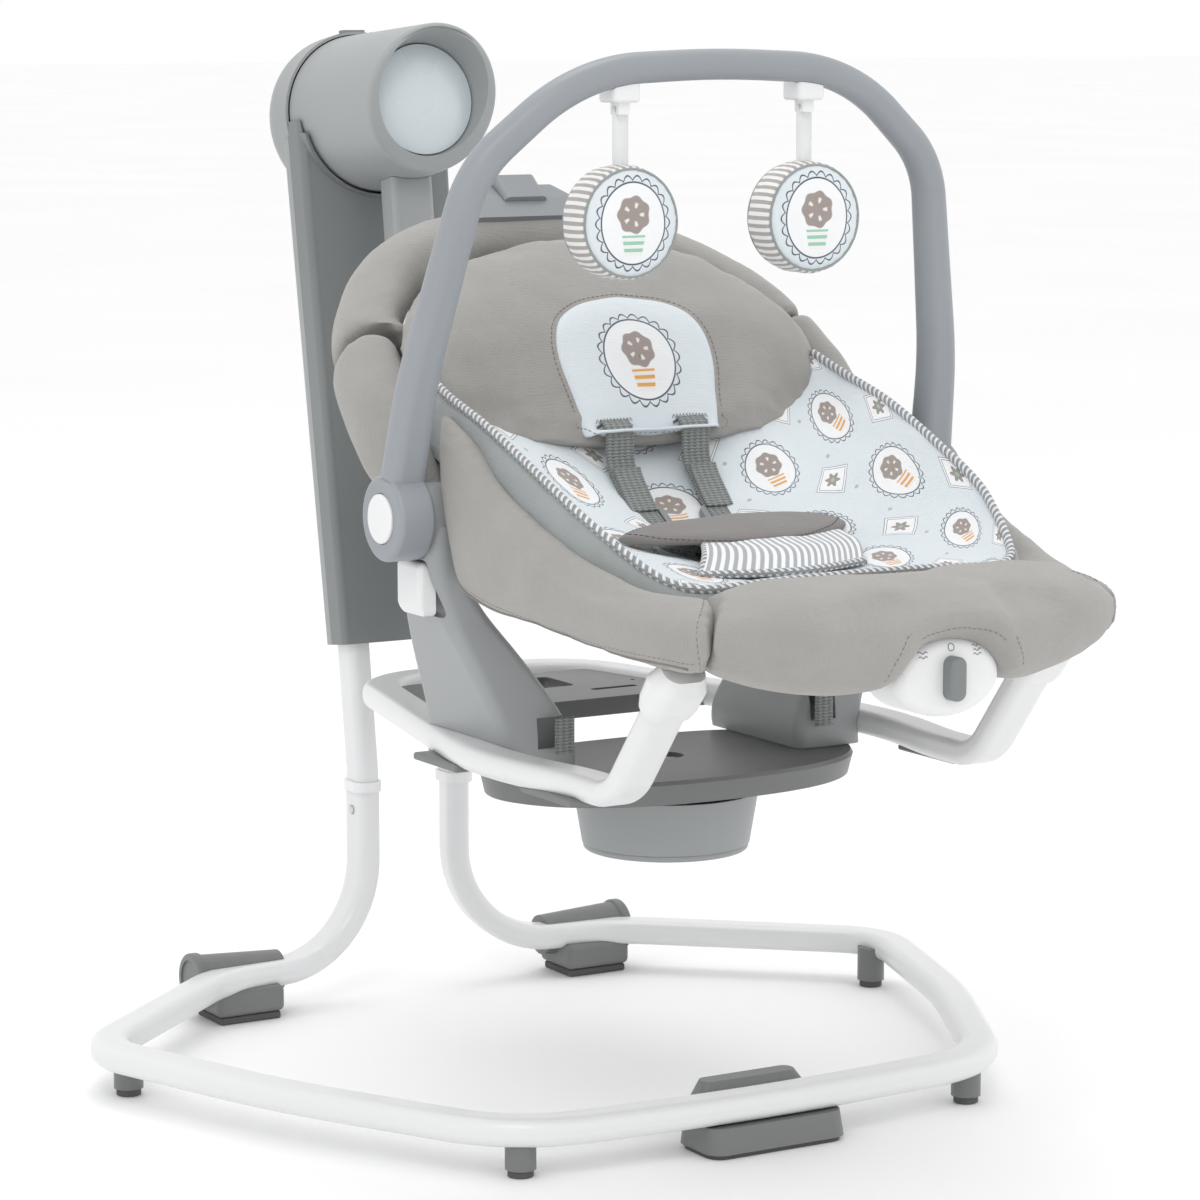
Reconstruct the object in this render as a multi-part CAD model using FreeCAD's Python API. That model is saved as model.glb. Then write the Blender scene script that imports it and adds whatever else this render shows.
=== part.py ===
import FreeCAD, Part
import math
import os

# Baby swing: a floor stand with a leaning drive tower, a swing arm that hangs
# from the tower's head, and a rocker seat that lifts off the arm's turntable.
# Millimetres. +Z up, the seat faces -Y, the object is symmetric about X = 0.
# The origin is on the floor, under the middle of the object; the pieces are drawn
# from the datum plane of the seat, MIDDLE_Y in front of it, and moved at the end.

V = FreeCAD.Vector
ORIGIN = V(0, 0, 0)
X_DIR = V(1, 0, 0)
Y_DIR = V(0, 1, 0)
Z_DIR = V(0, 0, 1)

# ---------------------------------------------------------------- driving dimensions
MIDDLE_Y = 26.0                # the object's middle, behind the datum
GAP = 0.3                      # free space between neighbours

# floor stand
TUBE_WIDE = 32.0
TUBE_THICK = 22.0
TUBE_CORNER = 9.0
TUBE_WALL = 1.5
TUBE_Z = 36.0                  # height of the loop's centre line
UPRIGHT_X = 46.0
UPRIGHT_Y = 377.0
UPRIGHT_BEND = 90.0
RING_Z = 192.0
LOOP_CORNERS = [
    (-200.0, 355.0, 100.0),
    (-387.0, 190.0, 62.0),
    (-318.0, -10.0, 700.0),
    (-217.0, -200.0, 105.0),
    (0.0, -217.0, 1500.0),
    (217.0, -200.0, 105.0),
    (318.0, -10.0, 700.0),
    (387.0, 190.0, 62.0),
    (200.0, 355.0, 100.0),
]
FOOT_SPOTS = [(-364.0, 178.0), (364.0, 178.0), (-206.0, -187.0), (206.0, -187.0)]
FOOT_RADIUS = 12.0
REAR_FOOT_Y = 374.0
REAR_FOOT_Z = 35.0
REAR_FOOT_INNER_X = 133.0
REAR_FOOT_OUTER_X = 209.0
REAR_FOOT_INNER_R = 18.0
REAR_FOOT_OUTER_R = 24.0

# tower and head
LEAN = 7.5                     # tower and swing arm lean back, degrees
TOWER_LOW = 125.0              # along the lean, from the joint rings
TOWER_HIGH = 592.0
TOWER_HALF_LOW = 65.0
TOWER_HALF_HIGH = 74.0
TOWER_SEAM = 4.0               # front and rear covers meet here
TOWER_REAR = 20.0
TOWER_SIDE_FRONT = -15.0
TOWER_BULGE = -28.0
SHELL_WALL = 2.5
AXIS_TILT = 8.5                # swing axis rises towards the front, degrees
AXIS_FRONT = V(0, 322, 797)    # middle of the head's front opening
OPENING_TILT = 9.0             # the opening faces down by this much, degrees
BARREL_LENGTH = 136.0          # from the opening's middle back to the seam
BARREL_FRONT_R = 62.0
BARREL_REAR_R = 71.5
DOME_R = 75.0
DOME_DEPTH = 58.0
DOME_EDGE = 33.0
DISC_R = 47.5
MOUTH_FLARE = 0.2              # the mouth widens towards the front
SHAFT_R = 8.0
SHAFT_PLACE = -8.8             # its front end, behind the seam
SHAFT_LENGTH = 37.0

# swing arm
NECK_WIDE = 40.0
NECK_DEEP = 28.0
ARM_WIDE = 34.0
ARM_THICK = 22.0
ARM_TOP = V(0, 371, 700)
ARM_RUN_Z = 234.0
HUB_Y = -60.0
HUB_R = 74.0
HUB_LOW = 209.0
HUB_SEAM = 214.0
HUB_HIGH = 256.0
TRAY_LOW = 264.0
TRAY_HIGH = 283.0

# rocker seat
RAIL_Z = 300.0
RAIL_WIDE = 34.0
RAIL_THICK = 20.0
RAIL_CORNER = 8.5
LEG_X = 163.0
RAIL_WIDEST_X = 184.0
RECLINE_AXIS = V(0, -70, 490)  # hubs of the toy arch and of the backrest
HUB_PIN_R = 8.0
HUB_X = 229.0                  # inner face of the toy arch's hubs
HUB_THICK = 30.0
ARCH_HUB_R = 33.0
ARCH_LEAN = 10.5
ARCH_WIDE = 23.0               # in the arch's plane, at the top
ARCH_WIDE_LOW = 36.0           # the same, at the hubs
ARCH_THICK = 24.0
TOY_X = 83.0
TOY_R = 43.0
TOY_THICK = 32.0
STRAP_WIDE = 25.0
STRAP_THICK = 2.0


# ---------------------------------------------------------------- helpers
def rad(degrees):
    return math.radians(degrees)


def axes(x_dir, y_dir, at):
    """Placement whose X and Y run along the two given directions."""
    z_dir = x_dir.cross(y_dir)
    return FreeCAD.Placement(at, FreeCAD.Rotation(x_dir, y_dir, z_dir, "ZXY"))


def placed(shape, placement):
    moved = shape.copy()
    moved.Placement = placement.multiply(moved.Placement)
    return moved


def moved(shape, x=0.0, y=0.0, z=0.0):
    copy = shape.copy()
    copy.translate(V(x, y, z))
    return copy


def turned(shape, centre, direction, degrees):
    copy = shape.copy()
    copy.rotate(centre, direction, degrees)
    return copy


def mirrored(shape):
    """The same piece on the other side of X = 0."""
    return shape.mirror(ORIGIN, X_DIR)


def rounded_rect(wide, high, radius):
    """Closed wire in the XY plane, centred on the origin."""
    w, h, r = wide / 2, high / 2, min(radius, wide / 2 - 0.01, high / 2 - 0.01)
    k = r * (1 - math.sqrt(0.5))
    edges = [
        Part.LineSegment(V(-w + r, -h, 0), V(w - r, -h, 0)),
        Part.Arc(V(w - r, -h, 0), V(w - k, -h + k, 0), V(w, -h + r, 0)),
        Part.LineSegment(V(w, -h + r, 0), V(w, h - r, 0)),
        Part.Arc(V(w, h - r, 0), V(w - k, h - k, 0), V(w - r, h, 0)),
        Part.LineSegment(V(w - r, h, 0), V(-w + r, h, 0)),
        Part.Arc(V(-w + r, h, 0), V(-w + k, h - k, 0), V(-w, h - r, 0)),
        Part.LineSegment(V(-w, h - r, 0), V(-w, -h + r, 0)),
        Part.Arc(V(-w, -h + r, 0), V(-w + k, -h + k, 0), V(-w + r, -h, 0)),
    ]
    return Part.Wire([edge.toShape() for edge in edges])


def rounded_path(points, radii):
    """Straight runs joined by tangent arcs, one radius for each inner point."""
    edges = []
    start = points[0]
    for before, corner, after, radius in zip(points, points[1:], points[2:], radii):
        into = (corner - before).normalize()
        out = (after - corner).normalize()
        turn = into.getAngle(out)
        if turn < 1e-4:
            continue
        reach = radius * math.tan(turn / 2)
        first = corner - into * reach
        last = corner + out * reach
        inward = (out - into).normalize()
        middle = corner + inward * (radius / math.cos(turn / 2) - radius)
        if (first - start).Length > 1e-3:
            edges.append(Part.LineSegment(start, first).toShape())
        edges.append(Part.Arc(first, middle, last).toShape())
        start = last
    if (points[-1] - start).Length > 1e-3:
        edges.append(Part.LineSegment(start, points[-1]).toShape())
    return Part.Wire(edges)


def sweep(path, profile, normal):
    """Solid of the profile carried along a flat path with this normal."""
    pipe = Part.BRepOffsetAPI.MakePipeShell(path)
    pipe.setBiNormalMode(normal)
    pipe.add(profile)
    pipe.build()
    pipe.makeSolid()
    return pipe.shape()


def bar(points, radii, normal, across_normal, along_normal, corner):
    """Rounded-rectangle bar; across_normal lies in the path's plane."""
    path = rounded_path(points, radii)
    ahead = (points[1] - points[0]).normalize()
    side = normal.cross(ahead).normalize()
    profile = rounded_rect(across_normal, along_normal, corner)
    profile = placed(profile, axes(side, normal, points[0]))
    return sweep(path, profile, normal)


def box(low, high):
    size = V(*high) - V(*low)
    return Part.makeBox(size.x, size.y, size.z, V(*low))


def soft_box(low, high, radius):
    """Box with every edge rounded."""
    block = box(low, high)
    return block.makeFillet(radius, block.Edges)


def rod(radius, length, at, direction):
    return Part.makeCylinder(radius, length, at, direction)


def rounded_rod(radius, length, at, direction, edge):
    body = rod(radius, length, at, direction)
    rims = [e for e in body.Edges if e.Length > radius * 6 and len(e.Vertexes) == 1]
    return body.makeFillet(edge, rims)


def prism(points, direction):
    """Straight prism on a flat outline."""
    face = Part.Face(Part.makePolygon([V(*p) for p in points] + [V(*points[0])]))
    return face.extrude(direction)


def loft(wires, ruled=False):
    return Part.makeLoft(wires, True, ruled)


def level_rect(x, y, z, wide, deep, radius):
    """Horizontal rounded rectangle, for lofts that rise."""
    return moved(rounded_rect(wide, deep, radius), x, y, z)


def group(shapes):
    return Part.makeCompound(shapes)


def single(shape):
    """The one solid of a boolean's result."""
    solids = shape.Solids
    return solids[0] if len(solids) == 1 else Part.makeCompound(solids)


def screw(at, direction, head_r=3.6, head_h=2.2, shank_r=1.7, shank_l=9.0):
    """Pan-head screw with a cross recess; at is under the head, direction points outwards."""
    head = rounded_rod(head_r, head_h, at, direction, 0.8)
    shank = rod(shank_r, shank_l + 0.2, at - direction * shank_l, direction)
    body = head.fuse(shank)
    side = direction.cross(V(0.31, 0.27, 0.91)).normalize()
    other = direction.cross(side)
    for along, wide in ((side, other), (other, side)):
        slot = Part.makeBox(4.0, 0.9, 1.4)
        slot.translate(V(-2.0, -0.45, 0))
        slot = placed(slot, axes(along, wide, at + direction * (head_h - 1.0)))
        body = body.cut(slot)
    return single(body.removeSplitter())


# ---------------------------------------------------------------- frames of the leaning pieces
UP_LEAN = V(0, math.sin(rad(LEAN)), math.cos(rad(LEAN)))
OUT_LEAN = V(0, math.cos(rad(LEAN)), -math.sin(rad(LEAN)))      # towards the back
TOWER_BASE = V(0, UPRIGHT_Y, RING_Z)
AXIS_BACK = V(0, math.cos(rad(AXIS_TILT)), -math.sin(rad(AXIS_TILT)))
AXIS_AHEAD = AXIS_BACK * -1
AXIS_UP = V(0, math.sin(rad(AXIS_TILT)), math.cos(rad(AXIS_TILT)))
HEAD_SEAM = AXIS_FRONT + AXIS_BACK * BARREL_LENGTH


def tower_point(x, depth, height):
    return TOWER_BASE + X_DIR * x + OUT_LEAN * depth + UP_LEAN * height


def head_point(x, up, back):
    """From the seam's middle: across, up and back along the swing axis."""
    return HEAD_SEAM + X_DIR * x + AXIS_UP * up + AXIS_BACK * back


# ---------------------------------------------------------------- floor stand
def base_loop_solid(wide, thick, corner):
    """Bent tube: two short uprights running into one level loop."""
    first_x, first_y, _ = LOOP_CORNERS[0]
    heading = V(first_x + UPRIGHT_X, first_y - UPRIGHT_Y, 0).normalize()
    foot = V(-UPRIGHT_X, UPRIGHT_Y, TUBE_Z)
    bend_end = foot + heading * (UPRIGHT_BEND + 1)
    upright = bar([V(-UPRIGHT_X, UPRIGHT_Y, RING_Z), foot, bend_end], [UPRIGHT_BEND],
                  heading.cross(Z_DIR), thick, wide, corner)
    corners = [V(x, y, TUBE_Z) for x, y, _ in LOOP_CORNERS]
    far_end = V(-bend_end.x, bend_end.y, TUBE_Z)
    loop = bar([bend_end] + corners + [far_end], [r for _, _, r in LOOP_CORNERS],
               Z_DIR, wide, thick, corner)
    return upright.fuse(loop).fuse(mirrored(upright))


def base_loop():
    outer = base_loop_solid(TUBE_WIDE, TUBE_THICK, TUBE_CORNER)
    inner = base_loop_solid(TUBE_WIDE - 2 * TUBE_WALL, TUBE_THICK - 2 * TUBE_WALL,
                            TUBE_CORNER - TUBE_WALL)
    tube = outer.cut(inner)
    for side in (-1, 1):
        tube = tube.cut(rod(4.3, 14, V(side * (UPRIGHT_X + 15), UPRIGHT_Y, RING_Z - 22), X_DIR * -side))
    return single(tube)


def loop_twist(side):
    """Turn of the loop's section at the joint ring, degrees about Z."""
    first_x, first_y, _ = LOOP_CORNERS[0]
    return -side * math.degrees(math.atan2(UPRIGHT_Y - first_y, -UPRIGHT_X - first_x))


def upright_bar(side, grow, reach=90.0):
    """Outside of an upper tube, grown all round; reach is its end above the tower's foot."""
    low = V(side * UPRIGHT_X, UPRIGHT_Y, RING_Z + 2 * GAP)
    stub = V(side * UPRIGHT_X, UPRIGHT_Y, RING_Z + 12)
    high = tower_point(side * UPRIGHT_X, 0, TOWER_LOW + reach)
    return bar([low, stub, high], [60], X_DIR, TUBE_WIDE + 2 * grow, TUBE_THICK + 2 * grow, TUBE_CORNER + grow)


def upright(side):
    """Upper tube: leans back from the joint ring into the tower."""
    outer = upright_bar(side, 0)
    inner = upright_bar(side, -TUBE_WALL)
    sleeve_x = TUBE_THICK - 2 * TUBE_WALL - 2 * GAP
    sleeve_y = TUBE_WIDE - 2 * TUBE_WALL - 2 * GAP
    sleeve = Part.Face(level_rect(side * UPRIGHT_X, UPRIGHT_Y, RING_Z - 45, sleeve_x, sleeve_y,
                                  TUBE_CORNER - TUBE_WALL - GAP)).extrude(V(0, 0, 50))
    bore = Part.Face(level_rect(side * UPRIGHT_X, UPRIGHT_Y, RING_Z - 46, sleeve_x - 3, sleeve_y - 3,
                                TUBE_CORNER - TUBE_WALL - 2)).extrude(V(0, 0, 60))
    pin_hole = rod(4.3, 30, V(side * (UPRIGHT_X + 15), UPRIGHT_Y, RING_Z - 22), X_DIR * -side)
    ring = level_rect(side * UPRIGHT_X, UPRIGHT_Y, RING_Z + 2 * GAP, TUBE_THICK - 1, TUBE_WIDE - 1, TUBE_CORNER)
    shoulder = Part.Face(ring).extrude(V(0, 0, 4))
    middle = V(side * UPRIGHT_X, UPRIGHT_Y, 0)
    sleeve = turned(sleeve, middle, Z_DIR, loop_twist(side))
    bore = turned(bore, middle, Z_DIR, loop_twist(side))
    tube = outer.cut(inner).fuse(shoulder).fuse(sleeve).cut(bore).cut(pin_hole)
    for x, height in TOWER_SCREWS:
        tube = tube.cut(rod(2.0, 14, tower_point(x, TOWER_REAR - 13, height), OUT_LEAN))
    return single(tube)


def snap_pin(side):
    """Spring pin that locks the sleeve in the tube."""
    at = V(side * (UPRIGHT_X + TUBE_THICK / 2 + 1.6), UPRIGHT_Y, RING_Z - 22)
    return rounded_rod(4.0, 9.0, at, X_DIR * -side, 1.2)


def joint_ring(side, cutter):
    """Collar over the joint of the lower and the upper tube."""
    ring = rounded_rect(TUBE_THICK + 5, TUBE_WIDE + 5, TUBE_CORNER + 2.5)
    hole = rounded_rect(TUBE_THICK + 2 * GAP, TUBE_WIDE + 2 * GAP, TUBE_CORNER + GAP)
    outer = Part.Face(ring).extrude(V(0, 0, 9))
    inner = Part.Face(hole).extrude(V(0, 0, 20))
    outer.translate(V(side * UPRIGHT_X, UPRIGHT_Y, RING_Z - 5))
    inner.translate(V(side * UPRIGHT_X, UPRIGHT_Y, RING_Z))
    return single(outer.cut(inner).cut(cutter))


def loop_cutter():
    return base_loop_solid(TUBE_WIDE + 2 * GAP, TUBE_THICK + 2 * GAP, TUBE_CORNER + GAP)


def foot_cup(spot, cutter):
    """Plastic cup under the tube."""
    low = 6.0
    cup = rod(FOOT_RADIUS, TUBE_Z - low, V(spot[0], spot[1], low), Z_DIR)
    cup = cup.fuse(Part.makeCone(FOOT_RADIUS - 1.5, FOOT_RADIUS, 4, V(spot[0], spot[1], low), Z_DIR))
    return single(cup.cut(cutter))


def foot_rubber(spot):
    return rounded_rod(FOOT_RADIUS - 2, 6.0 - GAP / 3, V(spot[0], spot[1], 0), Z_DIR, 1.2)


def rear_foot(side, cutter):
    """Tapered barrel over the tube, with a pad that stands on the floor."""
    inner = V(side * REAR_FOOT_INNER_X, REAR_FOOT_Y, REAR_FOOT_Z)
    length = REAR_FOOT_OUTER_X - REAR_FOOT_INNER_X
    barrel = Part.makeCone(REAR_FOOT_INNER_R, REAR_FOOT_OUTER_R - 2, length, inner, X_DIR * side)
    saddle = soft_box((side * 175 - 32, 338, 7), (side * 175 + 32, 392, 30), 5)
    end_at = inner + X_DIR * side * (length - 1)
    cap = rounded_rod(REAR_FOOT_OUTER_R, 10, end_at, X_DIR * side, 2.5)
    dish = rod(REAR_FOOT_OUTER_R - 6, 4, end_at + X_DIR * side * 8.4, X_DIR * side)
    foot = barrel.fuse(saddle).fuse(cap).cut(dish)
    floor_side = box((-400, 200, -40), (400, 500, 7))
    return single(foot.cut(cutter).cut(floor_side).removeSplitter())


def rear_foot_sole(side):
    return soft_box((side * 175 - 29, 341, 0), (side * 175 + 29, 389, 7 - GAP), 2)


def front_plate(cutter):
    """Winged pad that wraps the front rail and stands on the floor."""
    steps = [(4, -204, 126, 58, 14), (24, -203, 122, 54, 14), (25, -186, 118, 30, 10),
             (50, -181, 84, 16, 7)]
    wires = [level_rect(0, y, z, wide, deep, corner) for z, y, wide, deep, corner in steps]
    pad = loft(wires[:2], True).fuse(loft(wires[2:], True))
    pad = pad.fuse(loft([level_rect(0, -186, 20, 118, 30, 10), wires[2]], True))
    return largest(pad.cut(cutter))


def front_plate_sole():
    sole = Part.Face(level_rect(0, -204, 0, 120, 52, 12)).extrude(V(0, 0, 4 - GAP / 3))
    return sole


# ---------------------------------------------------------------- tower
def tower_outline(half, inset=0.0):
    """Section across the tower: flat sides, bulged front, rounded back."""
    half = half - inset
    rear = TOWER_REAR - inset
    side_front = TOWER_SIDE_FRONT + inset * 0.6
    bulge = TOWER_BULGE + inset
    r = 10.0
    k = r * (1 - math.sqrt(0.5))
    edges = [
        Part.LineSegment(V(-half, rear - r, 0), V(-half, side_front, 0)),
        Part.Arc(V(-half, side_front, 0), V(-half + 2.2, side_front - 4.2, 0), V(-half + 7, side_front - 6, 0)),
        Part.Arc(V(-half + 7, side_front - 6, 0), V(0, bulge, 0), V(half - 7, side_front - 6, 0)),
        Part.Arc(V(half - 7, side_front - 6, 0), V(half - 2.2, side_front - 4.2, 0), V(half, side_front, 0)),
        Part.LineSegment(V(half, side_front, 0), V(half, rear - r, 0)),
        Part.Arc(V(half, rear - r, 0), V(half - k, rear - k, 0), V(half - r, rear, 0)),
        Part.LineSegment(V(half - r, rear, 0), V(-half + r, rear, 0)),
        Part.Arc(V(-half + r, rear, 0), V(-half + k, rear - k, 0), V(-half, rear - r, 0)),
    ]
    return Part.Wire([edge.toShape() for edge in edges])


def tower_solid(inset, low, high):
    slope = (TOWER_HALF_HIGH - TOWER_HALF_LOW) / (TOWER_HIGH - TOWER_LOW)
    wires = []
    for height in (low, high):
        half = TOWER_HALF_LOW + slope * (height - TOWER_LOW)
        wires.append(placed(tower_outline(half, inset), axes(X_DIR, OUT_LEAN, tower_point(0, 0, height))))
    return loft(wires, True)


def half_space(front):
    """Everything on one side of the covers' seam."""
    block = Part.makeBox(400, 200, 900)
    block.translate(V(-200, TOWER_SEAM - 200 if front else TOWER_SEAM, -50))
    return placed(block, axes(X_DIR, OUT_LEAN, TOWER_BASE))


KEY_PLACE = 7.0                  # the keys' middle behind the seam
KEY_ROOM = 1.8                   # free depth under a key


def dome(radius, depth, edge):
    """Rounded end behind the seam, on the swing axis."""
    drum = rod(radius, depth, HEAD_SEAM, AXIS_BACK)
    rim = [e for e in drum.Edges if e.CenterOfMass.y > HEAD_SEAM.y + depth * 0.6 and len(e.Vertexes) == 1]
    return drum.makeFillet(edge, rim)


def barrel_space():
    """Room for the turning barrel in front of the seam."""
    return rod(BARREL_REAR_R + 0.8, 200, HEAD_SEAM + AXIS_BACK * 0.1, AXIS_AHEAD)


def tower_front_cover():
    outer = tower_solid(0, TOWER_LOW, TOWER_HIGH - 6)
    inner = tower_solid(SHELL_WALL, TOWER_LOW + SHELL_WALL, TOWER_HIGH)
    collar = rod(DOME_R, 30, HEAD_SEAM - AXIS_BACK * 30, AXIS_BACK)
    under = box((-90, 380, 690), (90, 470, 764))
    collar = collar.common(under)
    shell = outer.fuse(collar).cut(inner)
    shell = shell.common(half_space(True)).cut(barrel_space())
    shell = shell.cut(upright_cutter()).cut(dome(DOME_R + GAP, DOME_DEPTH, DOME_EDGE))
    return largest(shell)


def bearing_seats():
    """Tube behind the seam that carries both bearings, open below for the drive gear."""
    seat = rod(21, DOME_DEPTH - 4, head_point(0, 0, 3), AXIS_BACK)
    seat = seat.cut(rod(SHAFT_R + 2, 60, head_point(0, 0, -10), AXIS_BACK))
    for place in BEARING_PLACES:
        seat = seat.cut(rod(BEARING_R + 0.05, BEARING_THICK + 0.1, head_point(0, 0, place - 0.05), AXIS_BACK))
    gear_room = rod(60, GEAR_THICK + 2, head_point(0, 0, GEAR_PLACE - 1), AXIS_BACK)
    sides = Part.makeBox(60, 56, 60)
    sides.translate(V(-30, -44, -20))
    open_part = gear_room.common(placed(sides, axes(X_DIR, AXIS_UP, head_point(0, 0, 10))))
    return seat.cut(open_part).cut(rod(16, GEAR_THICK + 2, head_point(0, 0, GEAR_PLACE - 1), AXIS_BACK))


def tower_rear_cover():
    outer = tower_solid(0, TOWER_LOW, TOWER_HIGH - 20)
    inner = tower_solid(SHELL_WALL, TOWER_LOW + SHELL_WALL, TOWER_HIGH)
    shell = outer.common(half_space(False))
    shell = shell.fuse(dome(DOME_R, DOME_DEPTH, DOME_EDGE))
    shell = shell.cut(inner.common(half_space(False)))
    shell = shell.cut(dome(DOME_R - SHELL_WALL, DOME_DEPTH - SHELL_WALL, DOME_EDGE - 2))
    shell = shell.fuse(bearing_seats())
    shell = shell.cut(barrel_space()).cut(upright_cutter())
    shell = shell.cut(rod(5.2, 40, tower_point(-30, 0, TOWER_LOW + 40), OUT_LEAN))
    for key in (power_button(), speed_button()):
        shell = shell.cut(key_room(key))
    for x, height in TOWER_SCREWS:
        shell = shell.cut(rod(2.2, 40, tower_point(x, 0, height), OUT_LEAN))
    return largest(shell)


TOWER_SCREWS = [(-44, TOWER_LOW + 60), (44, TOWER_LOW + 60), (-48, TOWER_LOW + 240), (48, TOWER_LOW + 240)]


def upright_cutter():
    """Room for both uprights in the covers."""
    cutters = [upright_bar(side, GAP, 91.0) for side in (-1, 1)]
    return cutters[0].fuse(cutters[1])


def largest(shape):
    """Keeps the main solid where a cut leaves crumbs."""
    return max(shape.Solids, key=lambda solid: solid.Volume)


def tower_screws():
    return group([screw(tower_point(x, TOWER_REAR + 0.1, height), OUT_LEAN, shank_l=12)
                  for x, height in TOWER_SCREWS])


def power_jack():
    """Low-voltage inlet at the foot of the rear cover."""
    at = tower_point(-30, TOWER_REAR - 11, TOWER_LOW + 40)
    body = rod(5.0, 12.0, at, OUT_LEAN)
    flange = rounded_rod(7.5, 1.4, at + OUT_LEAN * 11.2, OUT_LEAN, 0.5)
    socket = rod(2.8, 10.0, at + OUT_LEAN * 4, OUT_LEAN)
    contact = rod(0.9, 7.0, at + OUT_LEAN * 3, OUT_LEAN)
    return single(body.fuse(flange).cut(socket).fuse(contact))


# ---------------------------------------------------------------- drive inside the head
BEARING_PLACES = (4.0, 21.0)   # behind the seam
BEARING_R = 17.0
BEARING_THICK = 6.0
GEAR_PLACE = 13.0
GEAR_THICK = 4.0
GEAR_MODULE = 1.5
SECTOR_TEETH = 64              # on the full circle; only the lower sector is there
PINION_TEETH = 12
SECTOR_HALF = 38.0             # degrees each side of straight down


def toothed_wheel(teeth, half_sector=180.0):
    """Flat wheel in the XY plane with plain trapezoid teeth; the first points along -Y."""
    pitch_r = teeth * GEAR_MODULE / 2
    root_r = pitch_r - 1.3 * GEAR_MODULE
    tip_r = pitch_r + 0.8 * GEAR_MODULE
    step = 360.0 / teeth
    wheel = rod(root_r, GEAR_THICK, ORIGIN, Z_DIR)
    pieces = []
    for index in range(teeth):
        angle = index * step
        off = min(angle, 360 - angle)
        if off > half_sector:
            continue
        root_half, tip_half = 0.62 * GEAR_MODULE, 0.26 * GEAR_MODULE
        tooth = prism([(-root_half, -root_r + 0.4, 0), (root_half, -root_r + 0.4, 0),
                       (tip_half, -tip_r, 0), (-tip_half, -tip_r, 0)], V(0, 0, GEAR_THICK))
        pieces.append(turned(tooth, ORIGIN, Z_DIR, angle))
    return wheel.multiFuse(pieces)


def on_axis(shape, back):
    """Carries a flat piece from the XY plane to the swing axis; -Y becomes down."""
    return placed(shape, axes(X_DIR * -1, AXIS_UP, head_point(0, 0, back)))


def drive_gear():
    wheel = toothed_wheel(SECTOR_TEETH, SECTOR_HALF)
    reach = 70.0
    side_x, side_y = reach * math.sin(rad(50)), -reach * math.cos(rad(50))
    corners = [(0, 14, 0), (-side_x, side_y, 0), (0, -reach * 1.3, 0), (side_x, side_y, 0)]
    wedge = prism(corners, V(0, 0, GEAR_THICK))
    hub = rod(14, GEAR_THICK, ORIGIN, Z_DIR)
    sector = wheel.common(wedge).fuse(hub).cut(rod(SHAFT_R, GEAR_THICK * 3, V(0, 0, -GEAR_THICK), Z_DIR))
    return largest(on_axis(sector, GEAR_PLACE))


def pinion_centre(back):
    distance = (SECTOR_TEETH + PINION_TEETH) * GEAR_MODULE / 2 + 0.25
    return head_point(0, -distance, back)


def motor_pinion():
    wheel = toothed_wheel(PINION_TEETH)
    wheel = turned(wheel, ORIGIN, Z_DIR, 180.0 / PINION_TEETH + 180.0)
    wheel = wheel.cut(rod(2.0 + 0.05, 20, V(0, 0, -8), Z_DIR))
    return largest(placed(wheel, axes(X_DIR * -1, AXIS_UP, pinion_centre(GEAR_PLACE))))


def drive_motor():
    """Flat motor behind the pinion, its axle forward through it."""
    at = pinion_centre(GEAR_PLACE + GEAR_THICK + 3)
    can = rounded_rod(12, 15, at, AXIS_BACK, 1.5)
    axle = rod(2.0, GEAR_THICK + 5, at - AXIS_BACK * (GEAR_THICK + 4), AXIS_BACK)
    return single(can.fuse(axle))


def swing_shaft():
    shaft = rod(SHAFT_R - 0.03, SHAFT_LENGTH, head_point(0, 0, SHAFT_PLACE), AXIS_BACK)
    flange = rod(22, 4, head_point(0, 0, SHAFT_PLACE), AXIS_BACK)
    return single(shaft.fuse(flange))


def shaft_bearings():
    rings = []
    for place in BEARING_PLACES:
        ring = rod(BEARING_R, BEARING_THICK, head_point(0, 0, place), AXIS_BACK)
        rings.append(ring.cut(rod(SHAFT_R + 0.02, 20, head_point(0, 0, place - 5), AXIS_BACK)))
    return group(rings)


def power_button():
    """Oblong key on top of the rear cover's dome."""
    return key_shape(head_point(0, DOME_R - 3.0, KEY_PLACE), 24, 8)


def speed_button():
    """Oblong key on top of the tower's collar, beside the power key."""
    return key_shape(head_point(22, math.sqrt(DOME_R ** 2 - 22 ** 2) - 3.0, KEY_PLACE), 12, 8, 18.3)


def key_room(key):
    """Opening for a key, with room under it for its travel."""
    opening = key.makeOffsetShape(0.3, 0.01)
    inward = (head_point(0, 0, KEY_PLACE) - key.CenterOfMass).normalize()
    deeper = opening.copy()
    deeper.translate(inward * KEY_ROOM)
    return opening.fuse(deeper)


def key_shape(at, wide, deep, roll=0.0):
    face = Part.Face(placed(rounded_rect(wide, deep, 3), axes(X_DIR, AXIS_BACK * -1, at)))
    key = face.extrude(AXIS_UP * 5.0)
    return turned(key, at, AXIS_BACK, roll)


def control_board():
    board = Part.makeBox(80, 1.6, 95)
    board.translate(V(-40, -3, TOWER_HIGH - 225))
    chips = [Part.makeBox(14, 2.4, 14), Part.makeBox(8, 3.0, 18), Part.makeBox(20, 5.0, 9)]
    spots = [(-10, -5.4, TOWER_HIGH - 190), (14, -6.0, TOWER_HIGH - 170), (-30, -8.0, TOWER_HIGH - 215)]
    for chip, spot in zip(chips, spots):
        chip.translate(V(*spot))
        board = board.fuse(chip)
    return single(placed(board, axes(X_DIR, OUT_LEAN, TOWER_BASE)))


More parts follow.
